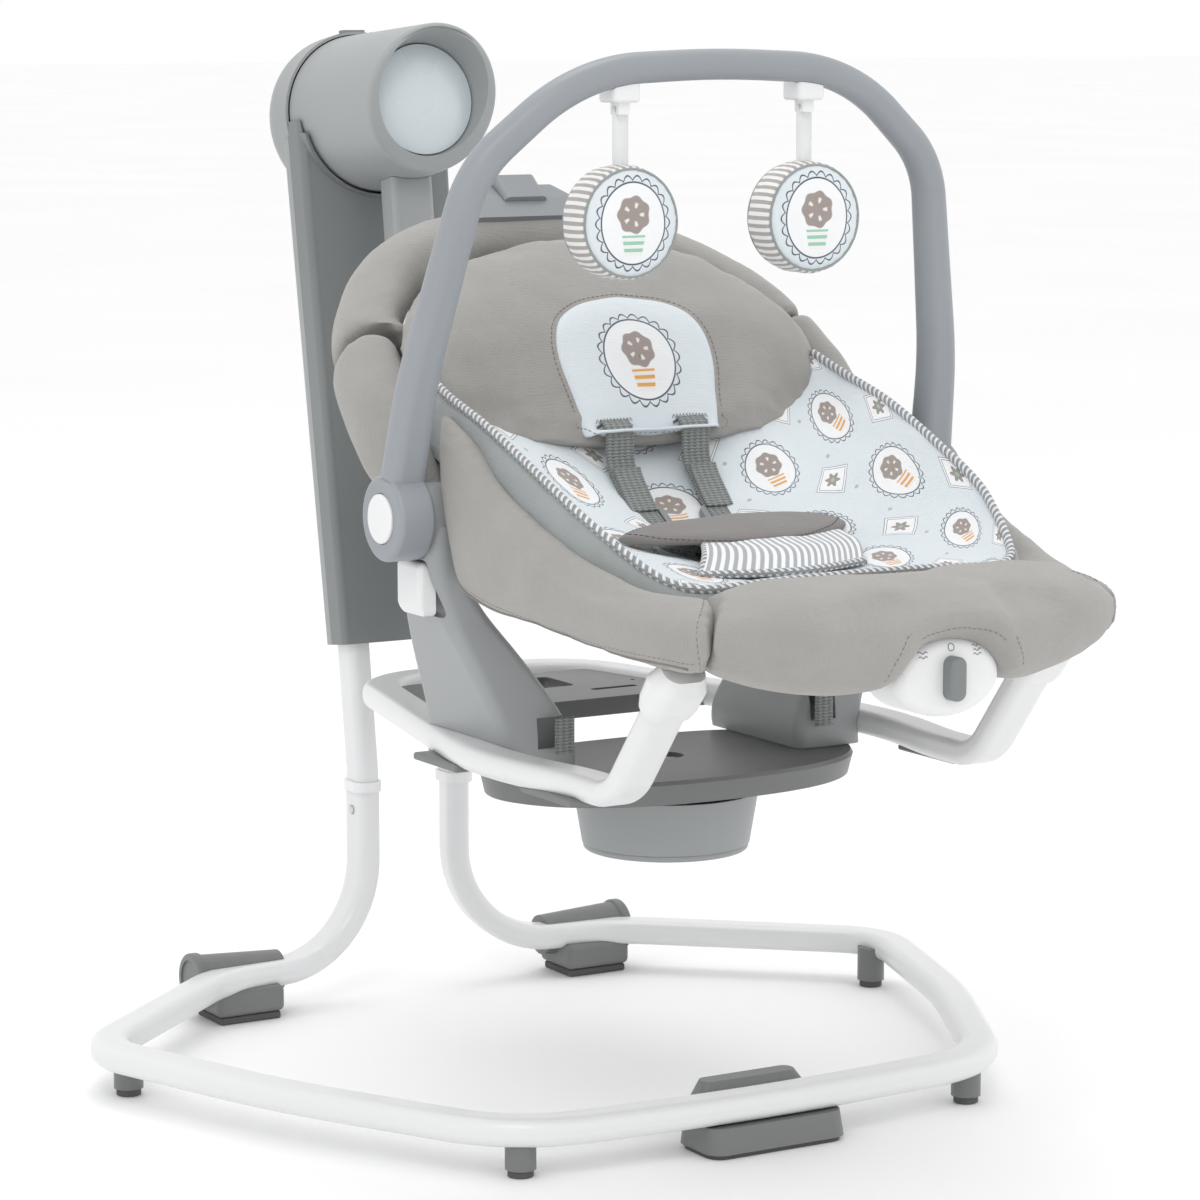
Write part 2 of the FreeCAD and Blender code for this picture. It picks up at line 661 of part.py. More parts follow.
# ---------------------------------------------------------------- swing arm
def barrel_solid(inset, rear):
    front_r = BARREL_FRONT_R - inset
    rear_r = BARREL_REAR_R - inset
    length = BARREL_LENGTH + 30
    slope = (rear_r - front_r) / BARREL_LENGTH
    return Part.makeCone(rear_r, front_r - slope * 30, length, head_point(0, 0, rear), AXIS_AHEAD)


def opening_block():
    """Everything in front of the slanting opening."""
    normal = V(0, -math.cos(rad(OPENING_TILT)), -math.sin(rad(OPENING_TILT)))
    up = V(0, -math.sin(rad(OPENING_TILT)), math.cos(rad(OPENING_TILT)))
    block = Part.makeBox(300, 300, 120)
    block.translate(V(-150, -150, 0))
    return placed(block, FreeCAD.Placement(AXIS_FRONT, FreeCAD.Rotation(X_DIR, up, normal, "ZXY")))


def head_barrel():
    """Turning housing at the top of the arm, with a visor over its front."""
    outer = barrel_solid(0, -0.8).cut(opening_block())
    rims = [e for e in outer.Edges if e.CenterOfMass.y < AXIS_FRONT.y + 12 and e.Length > 200]
    outer = outer.makeFillet(4.0, rims)
    front_wall = rod(90, 42, head_point(0, 0, -BARREL_LENGTH - 14), AXIS_BACK)
    hollow = barrel_solid(SHELL_WALL + 1, -4.5).cut(front_wall)
    reach = 80.0
    mouth_r = DISC_R + 2 * GAP
    mouth = Part.makeCone(mouth_r, mouth_r + reach * MOUTH_FLARE, reach,
                          head_point(0, 0, -BARREL_LENGTH + 24), AXIS_AHEAD)
    window = rod(DISC_R - 4, reach, head_point(0, 0, -BARREL_LENGTH + 30), AXIS_AHEAD)
    body = outer.cut(hollow).cut(mouth).cut(window)
    body = body.cut(rod(SHAFT_R + 6, 10, head_point(0, 0, -8), AXIS_BACK))
    return largest(body)


def head_disc():
    """Convex cover in the barrel's mouth."""
    at = head_point(0, 0, -BARREL_LENGTH + 23.6)
    disc = rod(DISC_R, 3.0, at, AXIS_AHEAD)
    ball_r = 190.0
    ball = Part.makeSphere(ball_r, at + AXIS_BACK * (ball_r - 9.5))
    drum = rod(DISC_R, 12.0, at, AXIS_AHEAD)
    return single(disc.fuse(ball.common(drum)).removeSplitter())


def arm_neck():
    """Plastic sleeve between the barrel and the tube."""
    wires = []
    for along, extra in ((14, 0), (-30, 0), (-62, 2)):
        at = ARM_TOP + UP_LEAN * along
        wires.append(placed(rounded_rect(NECK_WIDE + extra, NECK_DEEP + extra, 6), axes(X_DIR, OUT_LEAN, at)))
    sleeve = loft(wires, True)
    top = placed(rounded_rect(NECK_WIDE, NECK_DEEP, 6), axes(X_DIR, OUT_LEAN, ARM_TOP + UP_LEAN * 60))
    sleeve = sleeve.fuse(loft([wires[0], top], True))
    sleeve = sleeve.cut(barrel_solid(-GAP, -0.8))
    return largest(sleeve.cut(arm_solid(ARM_WIDE + 2 * GAP, ARM_THICK + 2 * GAP, 9.0 + GAP)))


def arm_points():
    low_y = ARM_TOP.y - (ARM_TOP.z - ARM_RUN_Z) * math.tan(rad(LEAN))
    return [ARM_TOP - UP_LEAN * 2, V(0, low_y, ARM_RUN_Z), V(0, HUB_Y + 20, ARM_RUN_Z)]


def arm_solid(wide, thick, corner):
    return bar(arm_points(), [72], X_DIR, thick, wide, corner)


def arm_tube():
    outer = arm_solid(ARM_WIDE, ARM_THICK, 9.0)
    inner = arm_solid(ARM_WIDE - 3, ARM_THICK - 3, 7.5)
    tube = outer.cut(inner)
    return single(tube.cut(rod(11.0, 60, V(0, HUB_Y, ARM_RUN_Z - 30), Z_DIR)))


def hub_bowl():
    """Round bowl under the turntable; the arm's tube ends in it."""
    bowl = Part.makeCone(HUB_R - 7, HUB_R, HUB_HIGH - HUB_SEAM, V(0, HUB_Y, HUB_SEAM + GAP), Z_DIR)
    inner = Part.makeCone(HUB_R - 10, HUB_R - 3, HUB_HIGH - HUB_SEAM, V(0, HUB_Y, HUB_SEAM + 2.5), Z_DIR)
    post = rod(17, HUB_HIGH - HUB_SEAM, V(0, HUB_Y, HUB_SEAM + GAP), Z_DIR)
    base = rounded_rod(HUB_R - 8, HUB_SEAM - HUB_LOW + 1, V(0, HUB_Y, HUB_LOW), Z_DIR, 2.5)
    bowl = bowl.cut(inner).fuse(post).fuse(base)
    bowl = bowl.cut(arm_solid(ARM_WIDE + 2 * GAP, ARM_THICK + 2 * GAP, 9.0 + GAP))
    bowl = bowl.cut(rod(9.05, 80, V(0, HUB_Y, HUB_LOW), Z_DIR))
    return largest(bowl)


def hub_spindle():
    """Steel pin that the turntable turns on, with its head under the bowl's floor."""
    pin = rod(9.0, TRAY_HIGH - HUB_LOW - 8, V(0, HUB_Y, HUB_LOW + 2), Z_DIR)
    return pin.fuse(rounded_rod(14.0, 3.4, V(0, HUB_Y, TRAY_HIGH - 6.4), Z_DIR, 1.0))


# ---------------------------------------------------------------- turntable
def tray_outline(z, inset=0.0):
    """Long oval plate: nearly straight back edge, bowed front edge."""
    points = [V(-158 + inset, -82, z), V(-138 + inset, -120 + inset, z), V(0, -162 + inset, z),
              V(138 - inset, -120 + inset, z), V(158 - inset, -82, z), V(142 - inset, -12 - inset, z),
              V(0, 28 - inset, z), V(-142 + inset, -12 - inset, z)]
    curve = Part.BSplineCurve()
    curve.interpolate(points, PeriodicFlag=True)
    return Part.Wire([curve.toShape()])


def turntable_tray():
    levels = [(TRAY_LOW, 3), (TRAY_HIGH - 3, 0), (TRAY_HIGH, 1.5)]
    plate = loft([tray_outline(z, inset) for z, inset in levels], True)
    glide = rod(HUB_R - 12, TRAY_LOW - HUB_HIGH, V(0, HUB_Y, HUB_HIGH + 1.0), Z_DIR)
    plate = plate.fuse(glide)
    plate = plate.cut(rod(9.05, 90, V(0, HUB_Y, TRAY_LOW - 40), Z_DIR))
    plate = plate.cut(rod(14.3, 20, V(0, HUB_Y, TRAY_HIGH - 6.7), Z_DIR))
    return single(plate)


# ---------------------------------------------------------------- rocker
RAIL_BACK_X = 98.0
RAIL_BACK_Y = 262.0
LEG_TOP = V(LEG_X, -333, 386)
TOE_Y = -264.0


def rocker_solid(wide, thick, corner):
    """Flat-oval tube: two legs that rise forwards from one level loop."""
    top = LEG_TOP
    toe = V(LEG_X, TOE_Y, RAIL_Z)
    rail = V(LEG_X, -231, RAIL_Z)
    leg = bar([top, toe, rail], [46], X_DIR, thick, wide, corner)
    half = [V(LEG_X, -232, RAIL_Z), V(LEG_X, -208, RAIL_Z), V(RAIL_WIDEST_X, -95, RAIL_Z),
            V(RAIL_BACK_X, RAIL_BACK_Y, RAIL_Z)]
    other = [V(-point.x, point.y, point.z) for point in reversed(half)]
    loop = bar(half + other, [200, 320, 70, 70, 320, 200], Z_DIR, wide, thick, corner)
    return leg.fuse(loop).fuse(mirrored(leg))


def rocker_frame():
    outer = rocker_solid(RAIL_WIDE, RAIL_THICK, RAIL_CORNER)
    inner = rocker_solid(RAIL_WIDE - 3, RAIL_THICK - 3, RAIL_CORNER - 1.5)
    return single(outer.cut(inner))


def rocker_cutter():
    return rocker_solid(RAIL_WIDE + 2 * GAP, RAIL_THICK + 2 * GAP, RAIL_CORNER + GAP)


def leg_cap(side):
    """Grey socket that takes the top of a leg and reaches up to the seat's tube."""
    ahead = (LEG_TOP - V(LEG_X, TOE_Y, RAIL_Z)).normalize()
    along = X_DIR.cross(ahead)
    wires = []
    for reach, wide, thick in ((-16, 40, 26), (-8, 43, 29), (10, 44, 30), (24, 34, 24)):
        wires.append(placed(rounded_rect(wide, thick, 11), axes(X_DIR, along, LEG_TOP + ahead * reach)))
    cap = loft(wires, True)
    cap = cap.cut(bar([LEG_TOP - ahead * 40, LEG_TOP + ahead * 1], [], X_DIR, RAIL_THICK + 2 * GAP,
                      RAIL_WIDE + 2 * GAP, RAIL_CORNER + GAP))
    return cap if side > 0 else mirrored(cap)


def rocker_pad(side, y_low, y_high):
    """Non-slip strip under a rail."""
    low = RAIL_Z - RAIL_THICK / 2 - 3.6
    middle = side * (LEG_X + 10 if y_high < -100 else RAIL_WIDEST_X - 5)
    strip = soft_box((middle - 12, y_low, low), (middle + 12, y_high, low + 6), 2.2)
    return single(strip.cut(rocker_cutter()))


def rear_cross_plate():
    """Plate across the back of the loop, with two slots."""
    outline = [(-165, 84, 291), (165, 84, 291), (140, 205, 291), (80, 222, 291), (-80, 222, 291),
               (-140, 205, 291)]
    plate = prism(outline, V(0, 0, 15)).cut(rocker_cutter())
    plate = largest(plate)
    for x in (-62, 62):
        plate = plate.cut(soft_box((x - 22, 120, 280), (x + 22, 128, 320), 3.5))
    plate = plate.cut(soft_box((-40, 150, 297), (40, 200, 320), 6))
    for x in (-96, 96):
        plate = plate.cut(rod(2.2, 40, V(x, 150, 280), Z_DIR))
    return single(plate)


BRACKET_STEPS = [
    # height, centre x, centre y, wide (x), deep (y), corner
    (283.6, 134.0, -28, 62, 136, 9),
    (312.0, 135.0, -30, 62, 132, 9),
    (345.0, 150.0, -34, 58, 116, 10),
    (385.0, 175.0, -42, 48, 92, 11),
    (420.0, 198.0, -53, 38, 68, 12),
    (450.0, 211.0, -63, 33, 56, 13),
    (484.0, 214.4, -70, 28, 50, 12),
]


def bracket_solid(grow=0.0):
    wires = [level_rect(x, y, z, wide + grow, deep + grow, corner)
             for z, x, y, wide, deep, corner in BRACKET_STEPS]
    hub_side = V(HUB_X - GAP, RECLINE_AXIS.y, RECLINE_AXIS.z)
    neck = loft(wires).cut(rod(ARCH_HUB_R + 1, 40, hub_side, X_DIR))
    boss = rod(25 + grow, 28, V(HUB_X - GAP - 28.5, RECLINE_AXIS.y, RECLINE_AXIS.z), X_DIR)
    pin = rod(HUB_PIN_R, 64, V(188, RECLINE_AXIS.y, RECLINE_AXIS.z), X_DIR)
    return neck.fuse(boss).fuse(pin)


def side_bracket(side):
    """Hollow pillar from the turntable to the hub of the arch, in one side."""
    body = bracket_solid()
    hollow = [level_rect(x, y, z, wide - 6, deep - 6, corner - 2)
              for z, x, y, wide, deep, corner in BRACKET_STEPS[:4]]
    body = body.cut(loft([moved(hollow[0], 0, 0, -2)] + hollow[1:]))
    body = body.cut(box((114, -110, 306), (138, -80, 330)))
    body = body.cut(latch_pocket())
    body = body.cut(rocker_cutter())
    body = largest(body)
    return body if side > 0 else mirrored(body)


def latch_pocket():
    return soft_box((209, -84, 412), (245, -42, 457.5), 4)


def release_latch(side):
    """White push latch on the outer face of a pillar's neck."""
    body = soft_box((213.5, -82, 414), (233.5, -44, 455.5), 5)
    body = body.cut(box((205, -83, 405), (219, -43, 436)))
    shaped = body.cut(moved(turned(Part.makeBox(60, 80, 40), ORIGIN, Y_DIR, 28), 214, -103, 388))
    return largest(shaped) if side > 0 else mirrored(largest(shaped))


# ---------------------------------------------------------------- toy arch
ARCH_POINTS = [(244.0, 10.0, 0.0), (238.0, 105.0, 420.0), (205.0, 266.0, 88.0), (120.0, 339.5, 150.0)]
ARCH_TOP = 345.0
ARCH_UP = V(0, -math.sin(rad(ARCH_LEAN)), math.cos(rad(ARCH_LEAN)))
ARCH_BACK = V(0, math.cos(rad(ARCH_LEAN)), math.sin(rad(ARCH_LEAN)))


def arch_point(x, up):
    return RECLINE_AXIS + X_DIR * x + ARCH_UP * up


def arch_solid(wide, thick, corner):
    right = [arch_point(x, up) for x, up, _ in ARCH_POINTS]
    left = [arch_point(-x, up) for x, up, _ in reversed(ARCH_POINTS)]
    radii = [r for _, _, r in ARCH_POINTS[1:]]
    path = rounded_path(right + [arch_point(0, ARCH_TOP)] + left, radii + [900.0] + radii[::-1])
    pipe = Part.BRepOffsetAPI.MakePipeShell(path)
    pipe.setBiNormalMode(ARCH_BACK)
    grow = ARCH_WIDE_LOW - ARCH_WIDE
    stations = [(right[0], right[1] - right[0], grow), (arch_point(0, ARCH_TOP - 0.05), X_DIR * -1, 0),
                (left[-1], left[-1] - left[-2], grow)]
    for at, ahead, extra in stations:
        side = ARCH_BACK.cross(ahead).normalize()
        pipe.add(placed(rounded_rect(wide + extra, thick, corner), axes(side, ARCH_BACK, at)))
    pipe.build()
    pipe.makeSolid()
    return pipe.shape()


def arch_tube():
    """Hollow bow with a round hub at each end."""
    outer = arch_solid(ARCH_WIDE, ARCH_THICK, 10.5)
    inner = arch_solid(ARCH_WIDE - 5, ARCH_THICK - 5, 8.0)
    tube = outer.cut(inner)
    for side in (-1, 1):
        drum = rod(ARCH_HUB_R - 1, 90, V(side * 200, RECLINE_AXIS.y, RECLINE_AXIS.z), X_DIR * side)
        tube = tube.cut(drum).fuse(arch_hub(side))
    return largest(tube)


def arch_hub(side):
    """Round end of the arch with a dish for its white cover."""
    at = V(HUB_X, RECLINE_AXIS.y, RECLINE_AXIS.z)
    hub = rounded_rod(ARCH_HUB_R, HUB_THICK, at, X_DIR, 4)
    hub = hub.cut(rod(19.5, 4, at + X_DIR * (HUB_THICK - 3), X_DIR))
    hub = hub.cut(rod(HUB_PIN_R + 0.05, 43.4, at - X_DIR * 20, X_DIR))
    return single(hub) if side > 0 else mirrored(single(hub))


def hub_cover(side):
    at = V(HUB_X + HUB_THICK - 3 + GAP, RECLINE_AXIS.y, RECLINE_AXIS.z)
    cap = rounded_rod(19.0, 5.0, at, X_DIR, 1.6)
    return cap if side > 0 else mirrored(cap)


def toy_clip(side):
    """Small saddle under the arch that holds a toy's strap."""
    top_z = 812.0
    saddle = soft_box((TOY_X - 12, -138, top_z - 11), (TOY_X + 12, -114, top_z + 6), 3)
    eye = box((TOY_X - 5, -133, top_z - 20), (TOY_X + 5, -121, top_z - 8))
    clip = saddle.fuse(eye)
    clip = clip.cut(rod(2.3, 40, V(TOY_X - 20, -127, top_z - 16), X_DIR))
    clip = clip.cut(box((TOY_X - 7.5, -150, top_z - 30), (TOY_X - 4.7, -100, top_z - 12.2)))
    clip = largest(clip.cut(arch_solid(ARCH_WIDE + 2 * GAP, ARCH_THICK + 2 * GAP, 10.5 + GAP)))
    return clip if side > 0 else mirrored(clip)


TOY_PIVOT = V(TOY_X, -127, 796)
STRAP_DROP = 50.0              # from the pivot down into the toy


def toy_strap(side):
    """Flat strap with a loop about the clip's eye."""
    pin = rod(2.0, 14, TOY_PIVOT - X_DIR * 7, X_DIR)
    forks = []
    for low in (-6.8, 5.4):
        forks.append(Part.makeBox(1.4, 6, 22, TOY_PIVOT + V(low, -3, -18)))
    web = Part.makeBox(13.6, 1.8, STRAP_DROP - 14, TOY_PIVOT + V(-6.8, -0.9, -STRAP_DROP))
    bridge = Part.makeBox(13.6, 6, 4, TOY_PIVOT + V(-6.8, -3, -18))
    strap = pin.multiFuse(forks + [web, bridge]).removeSplitter()
    return single(strap) if side > 0 else mirrored(single(strap))


def toy_disc(side):
    """Round stuffed toy that hangs from its strap."""
    centre = TOY_PIVOT + V(0, 0, -STRAP_DROP - TOY_R + 8.0)
    disc = rounded_rod(TOY_R, TOY_THICK, centre + V(0, -TOY_THICK / 2, 0), Y_DIR, 7)
    slot_corner = TOY_PIVOT + V(-6.8 - GAP, -0.9 - GAP, -STRAP_DROP - GAP)
    slot = Part.makeBox(13.6 + 2 * GAP, 1.8 + 2 * GAP, 30, slot_corner)
    disc = single(disc.cut(slot))
    return disc if side > 0 else mirrored(disc)


def toy(side):
    return group([toy_strap(side), toy_disc(side)])


# ---------------------------------------------------------------- seat
SEAT_TUBE_R = 8.0


def seat_tube_solid(radius):
    """Steel tube in the seat's edge, from hub to hub round the foot end."""
    tube = []
    route = [V(184, -110, 466), V(170, -330, 432), V(135, -408, 432), V(0, -428, 438)]
    for first, second in zip(route, route[1:]):
        ahead = second - first
        tube.append(rod(radius, ahead.Length, first, ahead.normalize()))
        tube.append(Part.makeSphere(radius, second))
    body = tube[0].multiFuse(tube[1:] + [mirrored(t) for t in tube])
    return body


def seat_tube():
    return single(seat_tube_solid(SEAT_TUBE_R).removeSplitter())


def vibration_shape(grow=0.0):
    """Oval body under the foot end, its face towards the front."""
    ellipse = Part.Ellipse(ORIGIN, 45.0 + grow, 29.0 + grow)
    face = Part.Face(Part.Wire([ellipse.toShape()]))
    face = placed(face, axes(X_DIR, Z_DIR, V(0, -404 + grow, 400)))
    return face.extrude(V(0, -42 - 2 * grow, 0))


def vibration_room():
    """Notch in the foot roll, open to the front."""
    ellipse = Part.Ellipse(ORIGIN, 46.5, 30.5)
    face = Part.Face(Part.Wire([ellipse.toShape()]))
    return placed(face, axes(X_DIR, Z_DIR, V(0, -402, 400))).extrude(V(0, -90, 0))


def vibration_housing():
    body = vibration_shape()
    front = [e for e in body.Edges if e.CenterOfMass.y < -440 and e.Length > 100]
    body = body.makeFillet(9.0, front)
    body = body.fuse(battery_case()).cut(vibration_shape(-3.0))
    body = body.cut(battery_room()).cut(seat_tube_solid(SEAT_TUBE_R + GAP))
    body = body.cut(rod(4.1, 30, V(0, -460, 400), Y_DIR))
    return largest(body)


def vibration_knob():
    grip = Part.Face(placed(rounded_rect(14, 32, 6.5), axes(X_DIR, Z_DIR, V(0, -446 - GAP, 400))))
    grip = grip.extrude(V(0, -11, 0))
    rim = [e for e in grip.Edges if e.CenterOfMass.y < -457]
    grip = grip.makeFillet(3.0, rim)
    return single(grip.fuse(rod(4.0, 16, V(0, -447, 400), Y_DIR)))


def vibration_motor():
    motor = rod(9, 22, V(0, -418, 395), X_DIR)
    return single(motor.fuse(rod(1.0, 38, V(-12, -418, 395), X_DIR)))


def battery_case():
    return soft_box((-34, -406, 384), (34, -352, 414), 4)


def battery_room():
    """Hollow of the battery case, open below."""
    return box((-31, -400, 370), (31, -355, 411))


DOOR_HINGE_Y = -357.0
DOOR_HINGE_Z = 385.7


def battery_door():
    """Lid under the battery case, with its hinge barrel along the rear edge."""
    lid = soft_box((-30.6, -399.6, 384.2), (30.6, DOOR_HINGE_Y, 387.2), 1.2)
    return single(lid.fuse(rod(1.5, 61.2, V(-30.6, DOOR_HINGE_Y, DOOR_HINGE_Z), X_DIR)))


def extrude_across(points, low_x, high_x, edge):
    """Prism with its outline in the YZ plane, and rounded edges."""
    body = prism([(low_x, y, z) for y, z in points], V(high_x - low_x, 0, 0))
    return body.makeFillet(edge, body.Edges)


def recline_room():
    """Room in a side panel for the backrest's tube and its boss, over their whole travel."""
    low_x, reach, half = 165.0, 80.0, BACK_TUBE_R + 2.5
    room = rod(BACK_BOSS_R + 2, 60, V(low_x, RECLINE_AXIS.y, RECLINE_AXIS.z), X_DIR)
    corners = []
    for slope, side in ((BACK_SLOPE, 1), (BACK_SLOPE - RECLINE_TRAVEL, -1)):
        along = V(0, math.cos(rad(slope)), math.sin(rad(slope)))
        across = V(0, -math.sin(rad(slope)), math.cos(rad(slope))) * (half * side)
        near, far = RECLINE_AXIS + across, RECLINE_AXIS + across + along * reach
        corners += [near, far] if side > 0 else [far, near]
    return room.fuse(prism([(low_x, point.y, point.z) for point in corners], V(60, 0, 0)))


def side_panel(side):
    """Padded side of the seat, from the piping down to the lower seam."""
    outline = [(-56, 424), (-56, 546), (-150, 506), (-300, 464), (-384, 456), (-384, 404), (-250, 404)]
    body = extrude_across(outline, 150, 204, 9)
    taper = prism([(205, -230, 300), (168, -392, 300), (230, -392, 300), (230, -230, 300)], V(0, 0, 300))
    body = body.cut(taper)
    body = body.cut(bracket_solid(3.0)).cut(seat_tube_solid(SEAT_TUBE_R + GAP)).cut(recline_room())
    cap = leg_cap(1)
    grown = cap.makeOffsetShape(1.0, 0.01)
    body = largest(body.cut(grown))
    return body if side > 0 else mirrored(body)


def foot_roll():
    """Padded roll across the foot end."""
    outline = [(-171, -385.2), (-166, -418), (-130, -448), (-60, -468), (60, -468), (130, -448), (166, -418),
               (171, -385.2)]
    body = prism([(x, y, 403) for x, y in outline], V(0, 0, 58))
    body = body.makeFillet(14, [e for e in body.Edges if abs(e.tangentAt(e.FirstParameter).z) < 0.5])
    body = body.cut(vibration_room()).cut(seat_tube_solid(SEAT_TUBE_R + GAP))
    return largest(body.cut(box((-37, -405, 370), (37, -340, 417))))


def seat_pad():
    """Quilted bottom of the seat, hung between the sides."""
    outline = [(-384, 428), (-384, 446), (-300, 444), (-200, 432), (-80, 434), (-80, 420), (-200, 418),
               (-300, 428)]
    return largest(extrude_across(outline, -149.6, 149.6, 3).cut(seat_tube_solid(SEAT_TUBE_R + GAP)))


def inner_pad():
    """Printed liner on the seat's bottom."""
    outline = [(-383, 446.6), (-383, 456), (-300, 454), (-200, 443), (-84, 445), (-84, 435), (-200, 433),
               (-300, 444.8)]
    return extrude_across(outline, -149.2, 149.2, 3)


def harness_buckle():
    body = soft_box((-26, -186, 451), (26, -142, 464), 4)
    return single(body.cut(box((-9.3, -177.3, 455), (9.3, -158.7, 470))))


def buckle_button():
    return soft_box((-9, -177, 458.4), (9, -159, 465.6), 1.6)


def shoulder_strap(side):
    """Webbing from below the head inset down to the buckle."""
    x = side * 35.0
    route = [V(x, -40, 525.4), V(x, -74, 488), V(x, -112, 462.5), V(x, -139, 459.8)]
    return bar(route, [60, 60], X_DIR, STRAP_THICK, STRAP_WIDE, 0.9)


def strap_adjuster(side):
    """Slide adjuster: a frame with a cross bar, round the webbing."""
    x = side * 35.0
    down = V(0, -38, -25.5).normalize()
    face = X_DIR.cross(down)
    frame = Part.Face(rounded_rect(38, 27, 6)).extrude(V(0, 0, 5))
    for y in (-6.2, 6.2):
        hole = Part.Face(rounded_rect(27.5, 7.6, 1)).extrude(V(0, 0, 20))
        frame = frame.cut(moved(hole, 0, y, -5))
    frame = frame.cut(moved(Part.Face(rounded_rect(27.5, 60, 1)).extrude(V(0, 0, 2.9)), 0, 0, -0.1))
    middle = V(x, -92, 475.9)
    return largest(placed(frame, axes(X_DIR, down, middle - face * 1.35)))


def waist_strap(side):
    return bar([V(side * 32, -148, 457), V(side * 120, -112, 457)], [], Z_DIR, 22, STRAP_THICK, 0.9)


def crotch_strap():
    return bar([V(0, -187, 459), V(0, -214, 453), V(0, -238, 452)], [30], X_DIR, STRAP_THICK, STRAP_WIDE, 0.9)


def crotch_pad():
    """Pointed oval cover over the buckle."""
    tip, low, high = 104.0, -196.0, -128.0
    outline = Part.Wire([
        Part.Arc(V(-tip, -158, 467), V(0, low, 467), V(tip, -158, 467)).toShape(),
        Part.Arc(V(tip, -158, 467), V(0, high, 467), V(-tip, -158, 467)).toShape(),
    ])
    body = Part.Face(outline).extrude(V(0, 0, 7))
    return body


def crotch_flap():
    """Soft flap in front of the buckle."""
    return soft_box((-42, -228, 458.4), (72, -198, 466.4), 3.5)


# ---------------------------------------------------------------- backrest
BACK_SLOPE = 38.0
RECLINE_TRAVEL = 15.0          # the backrest goes back by this much, degrees
BACK_TUBE_R = 8.0
BACK_BOSS_R = 13.0
BACK_ALONG = V(0, math.cos(rad(BACK_SLOPE)), math.sin(rad(BACK_SLOPE)))
BACK_NORMAL = V(0, -math.sin(rad(BACK_SLOPE)), math.cos(rad(BACK_SLOPE)))


def back_point(x, along, proud=0.0):
    """From the hubs: across, up the backrest, and out of its plane towards the child."""
    return RECLINE_AXIS + X_DIR * x + BACK_ALONG * along + BACK_NORMAL * proud


def back_tube_solid(radius):
    route = [back_point(x, along) for x, along in ((176, 0), (172, 150), (142, 240), (70, 295), (0, 300))]
    tube = []
    for first, second in zip(route, route[1:]):
        ahead = second - first
        tube.append(rod(radius, ahead.Length, first, ahead.normalize()))
        tube.append(Part.makeSphere(radius, second))
    return tube[0].multiFuse(tube[1:] + [mirrored(t) for t in tube])


def back_tube():
    body = back_tube_solid(BACK_TUBE_R).removeSplitter()
    for side in (-1, 1):
        body = body.fuse(rod(BACK_BOSS_R, 20, V(side * 179, RECLINE_AXIS.y, RECLINE_AXIS.z), X_DIR * side))
        body = body.cut(rod(HUB_PIN_R + 0.05, 60, V(side * 170, RECLINE_AXIS.y, RECLINE_AXIS.z), X_DIR * side))
    return largest(body.removeSplitter())


def back_rim():
    """Padded edge of the backrest, from side to side over the head."""
    route = [(171, 42), (172, 160), (148, 250), (66, 304)]
    points = [back_point(x, along) for x, along in route]
    points += [back_point(-x, along) for x, along in reversed(route)]
    body = bar(points, [120, 70, 80, 80, 70, 120], BACK_NORMAL, 54, 54, 24)
    body = body.cut(back_tube_solid(BACK_TUBE_R + GAP)).cut(bracket_solid(4.0)).cut(mirrored(bracket_solid(4.0)))
    return largest(body.cut(recline_shape(0.6)))


def back_pad():
    """Padded back panel between the edges."""
    outline = [(-48, 452), (-60, 470), (-26, 528), (10, 572), (70, 622), (120, 656), (138, 632), (90, 586),
               (30, 530), (-20, 470)]
    body = extrude_across(outline, -142, 142, 5)
    return largest(body.cut(back_tube_solid(BACK_TUBE_R + GAP)))


def head_cushion():
    """Wide crescent cushion for the head, on the back panel."""
    outline = [(24, 590), (10, 604), (22, 640), (64, 676), (104, 684), (118, 672), (118, 662), (64, 623)]
    body = extrude_across(outline, -142, 142, 5)
    return largest(body.cut(back_rim()).cut(back_pad()).cut(head_inset()))


def head_inset():
    """Light panel for the head, in the middle of the cushion."""
    outline = [(-24, 532), (-33, 538), (-16, 600), (12, 616), (28, 604), (8, 573)]
    return extrude_across(outline, -70, 70, 2)


def recline_shape(grow=0.0):
    wires = []
    for along, wide, thick in ((302, 116, 26), (326, 108, 25), (346, 84, 18)):
        place = axes(X_DIR, BACK_NORMAL, back_point(0, along, 20))
        wires.append(placed(rounded_rect(wide + 2 * grow, thick + 2 * grow, 8), place))
    return loft(wires, True)


def recline_housing():
    """Grey grip at the head end; the lever sits in its middle."""
    body = recline_shape()
    body = body.cut(lever_shape(0.4))
    body = body.cut(back_tube_solid(BACK_TUBE_R + GAP))
    return largest(body)


def lever_shape(grow=0.0):
    place = axes(X_DIR, BACK_NORMAL, back_point(0, 322 - grow, 30))
    face = Part.Face(placed(rounded_rect(40 + 2 * grow, 14 + 2 * grow, 5), place))
    return face.extrude(BACK_ALONG * (28 + 2 * grow))


def recline_lever():
    return lever_shape()


# ---------------------------------------------------------------- all the pieces
def in_pair(make, *more):
    return [make(-1, *more), make(1, *more)]


def both_sides(name, make, *more):
    return {name + "_left": make(-1, *more), name + "_right": make(1, *more)}


def stand_pieces():
    cutter = loop_cutter()
    pieces = {
        "base_loop": base_loop(),
        "floor_feet": group([foot_cup(spot, cutter) for spot in FOOT_SPOTS] + in_pair(rear_foot, cutter)),
        "floor_soles": group([foot_rubber(spot) for spot in FOOT_SPOTS] + in_pair(rear_foot_sole)
                             + [front_plate_sole()]),
        "front_plate": front_plate(cutter),
        "joint_rings": group(in_pair(joint_ring, cutter)),
        "uprights": group(in_pair(upright)),
    }
    pieces.update(both_sides("snap_pin", snap_pin))
    return pieces


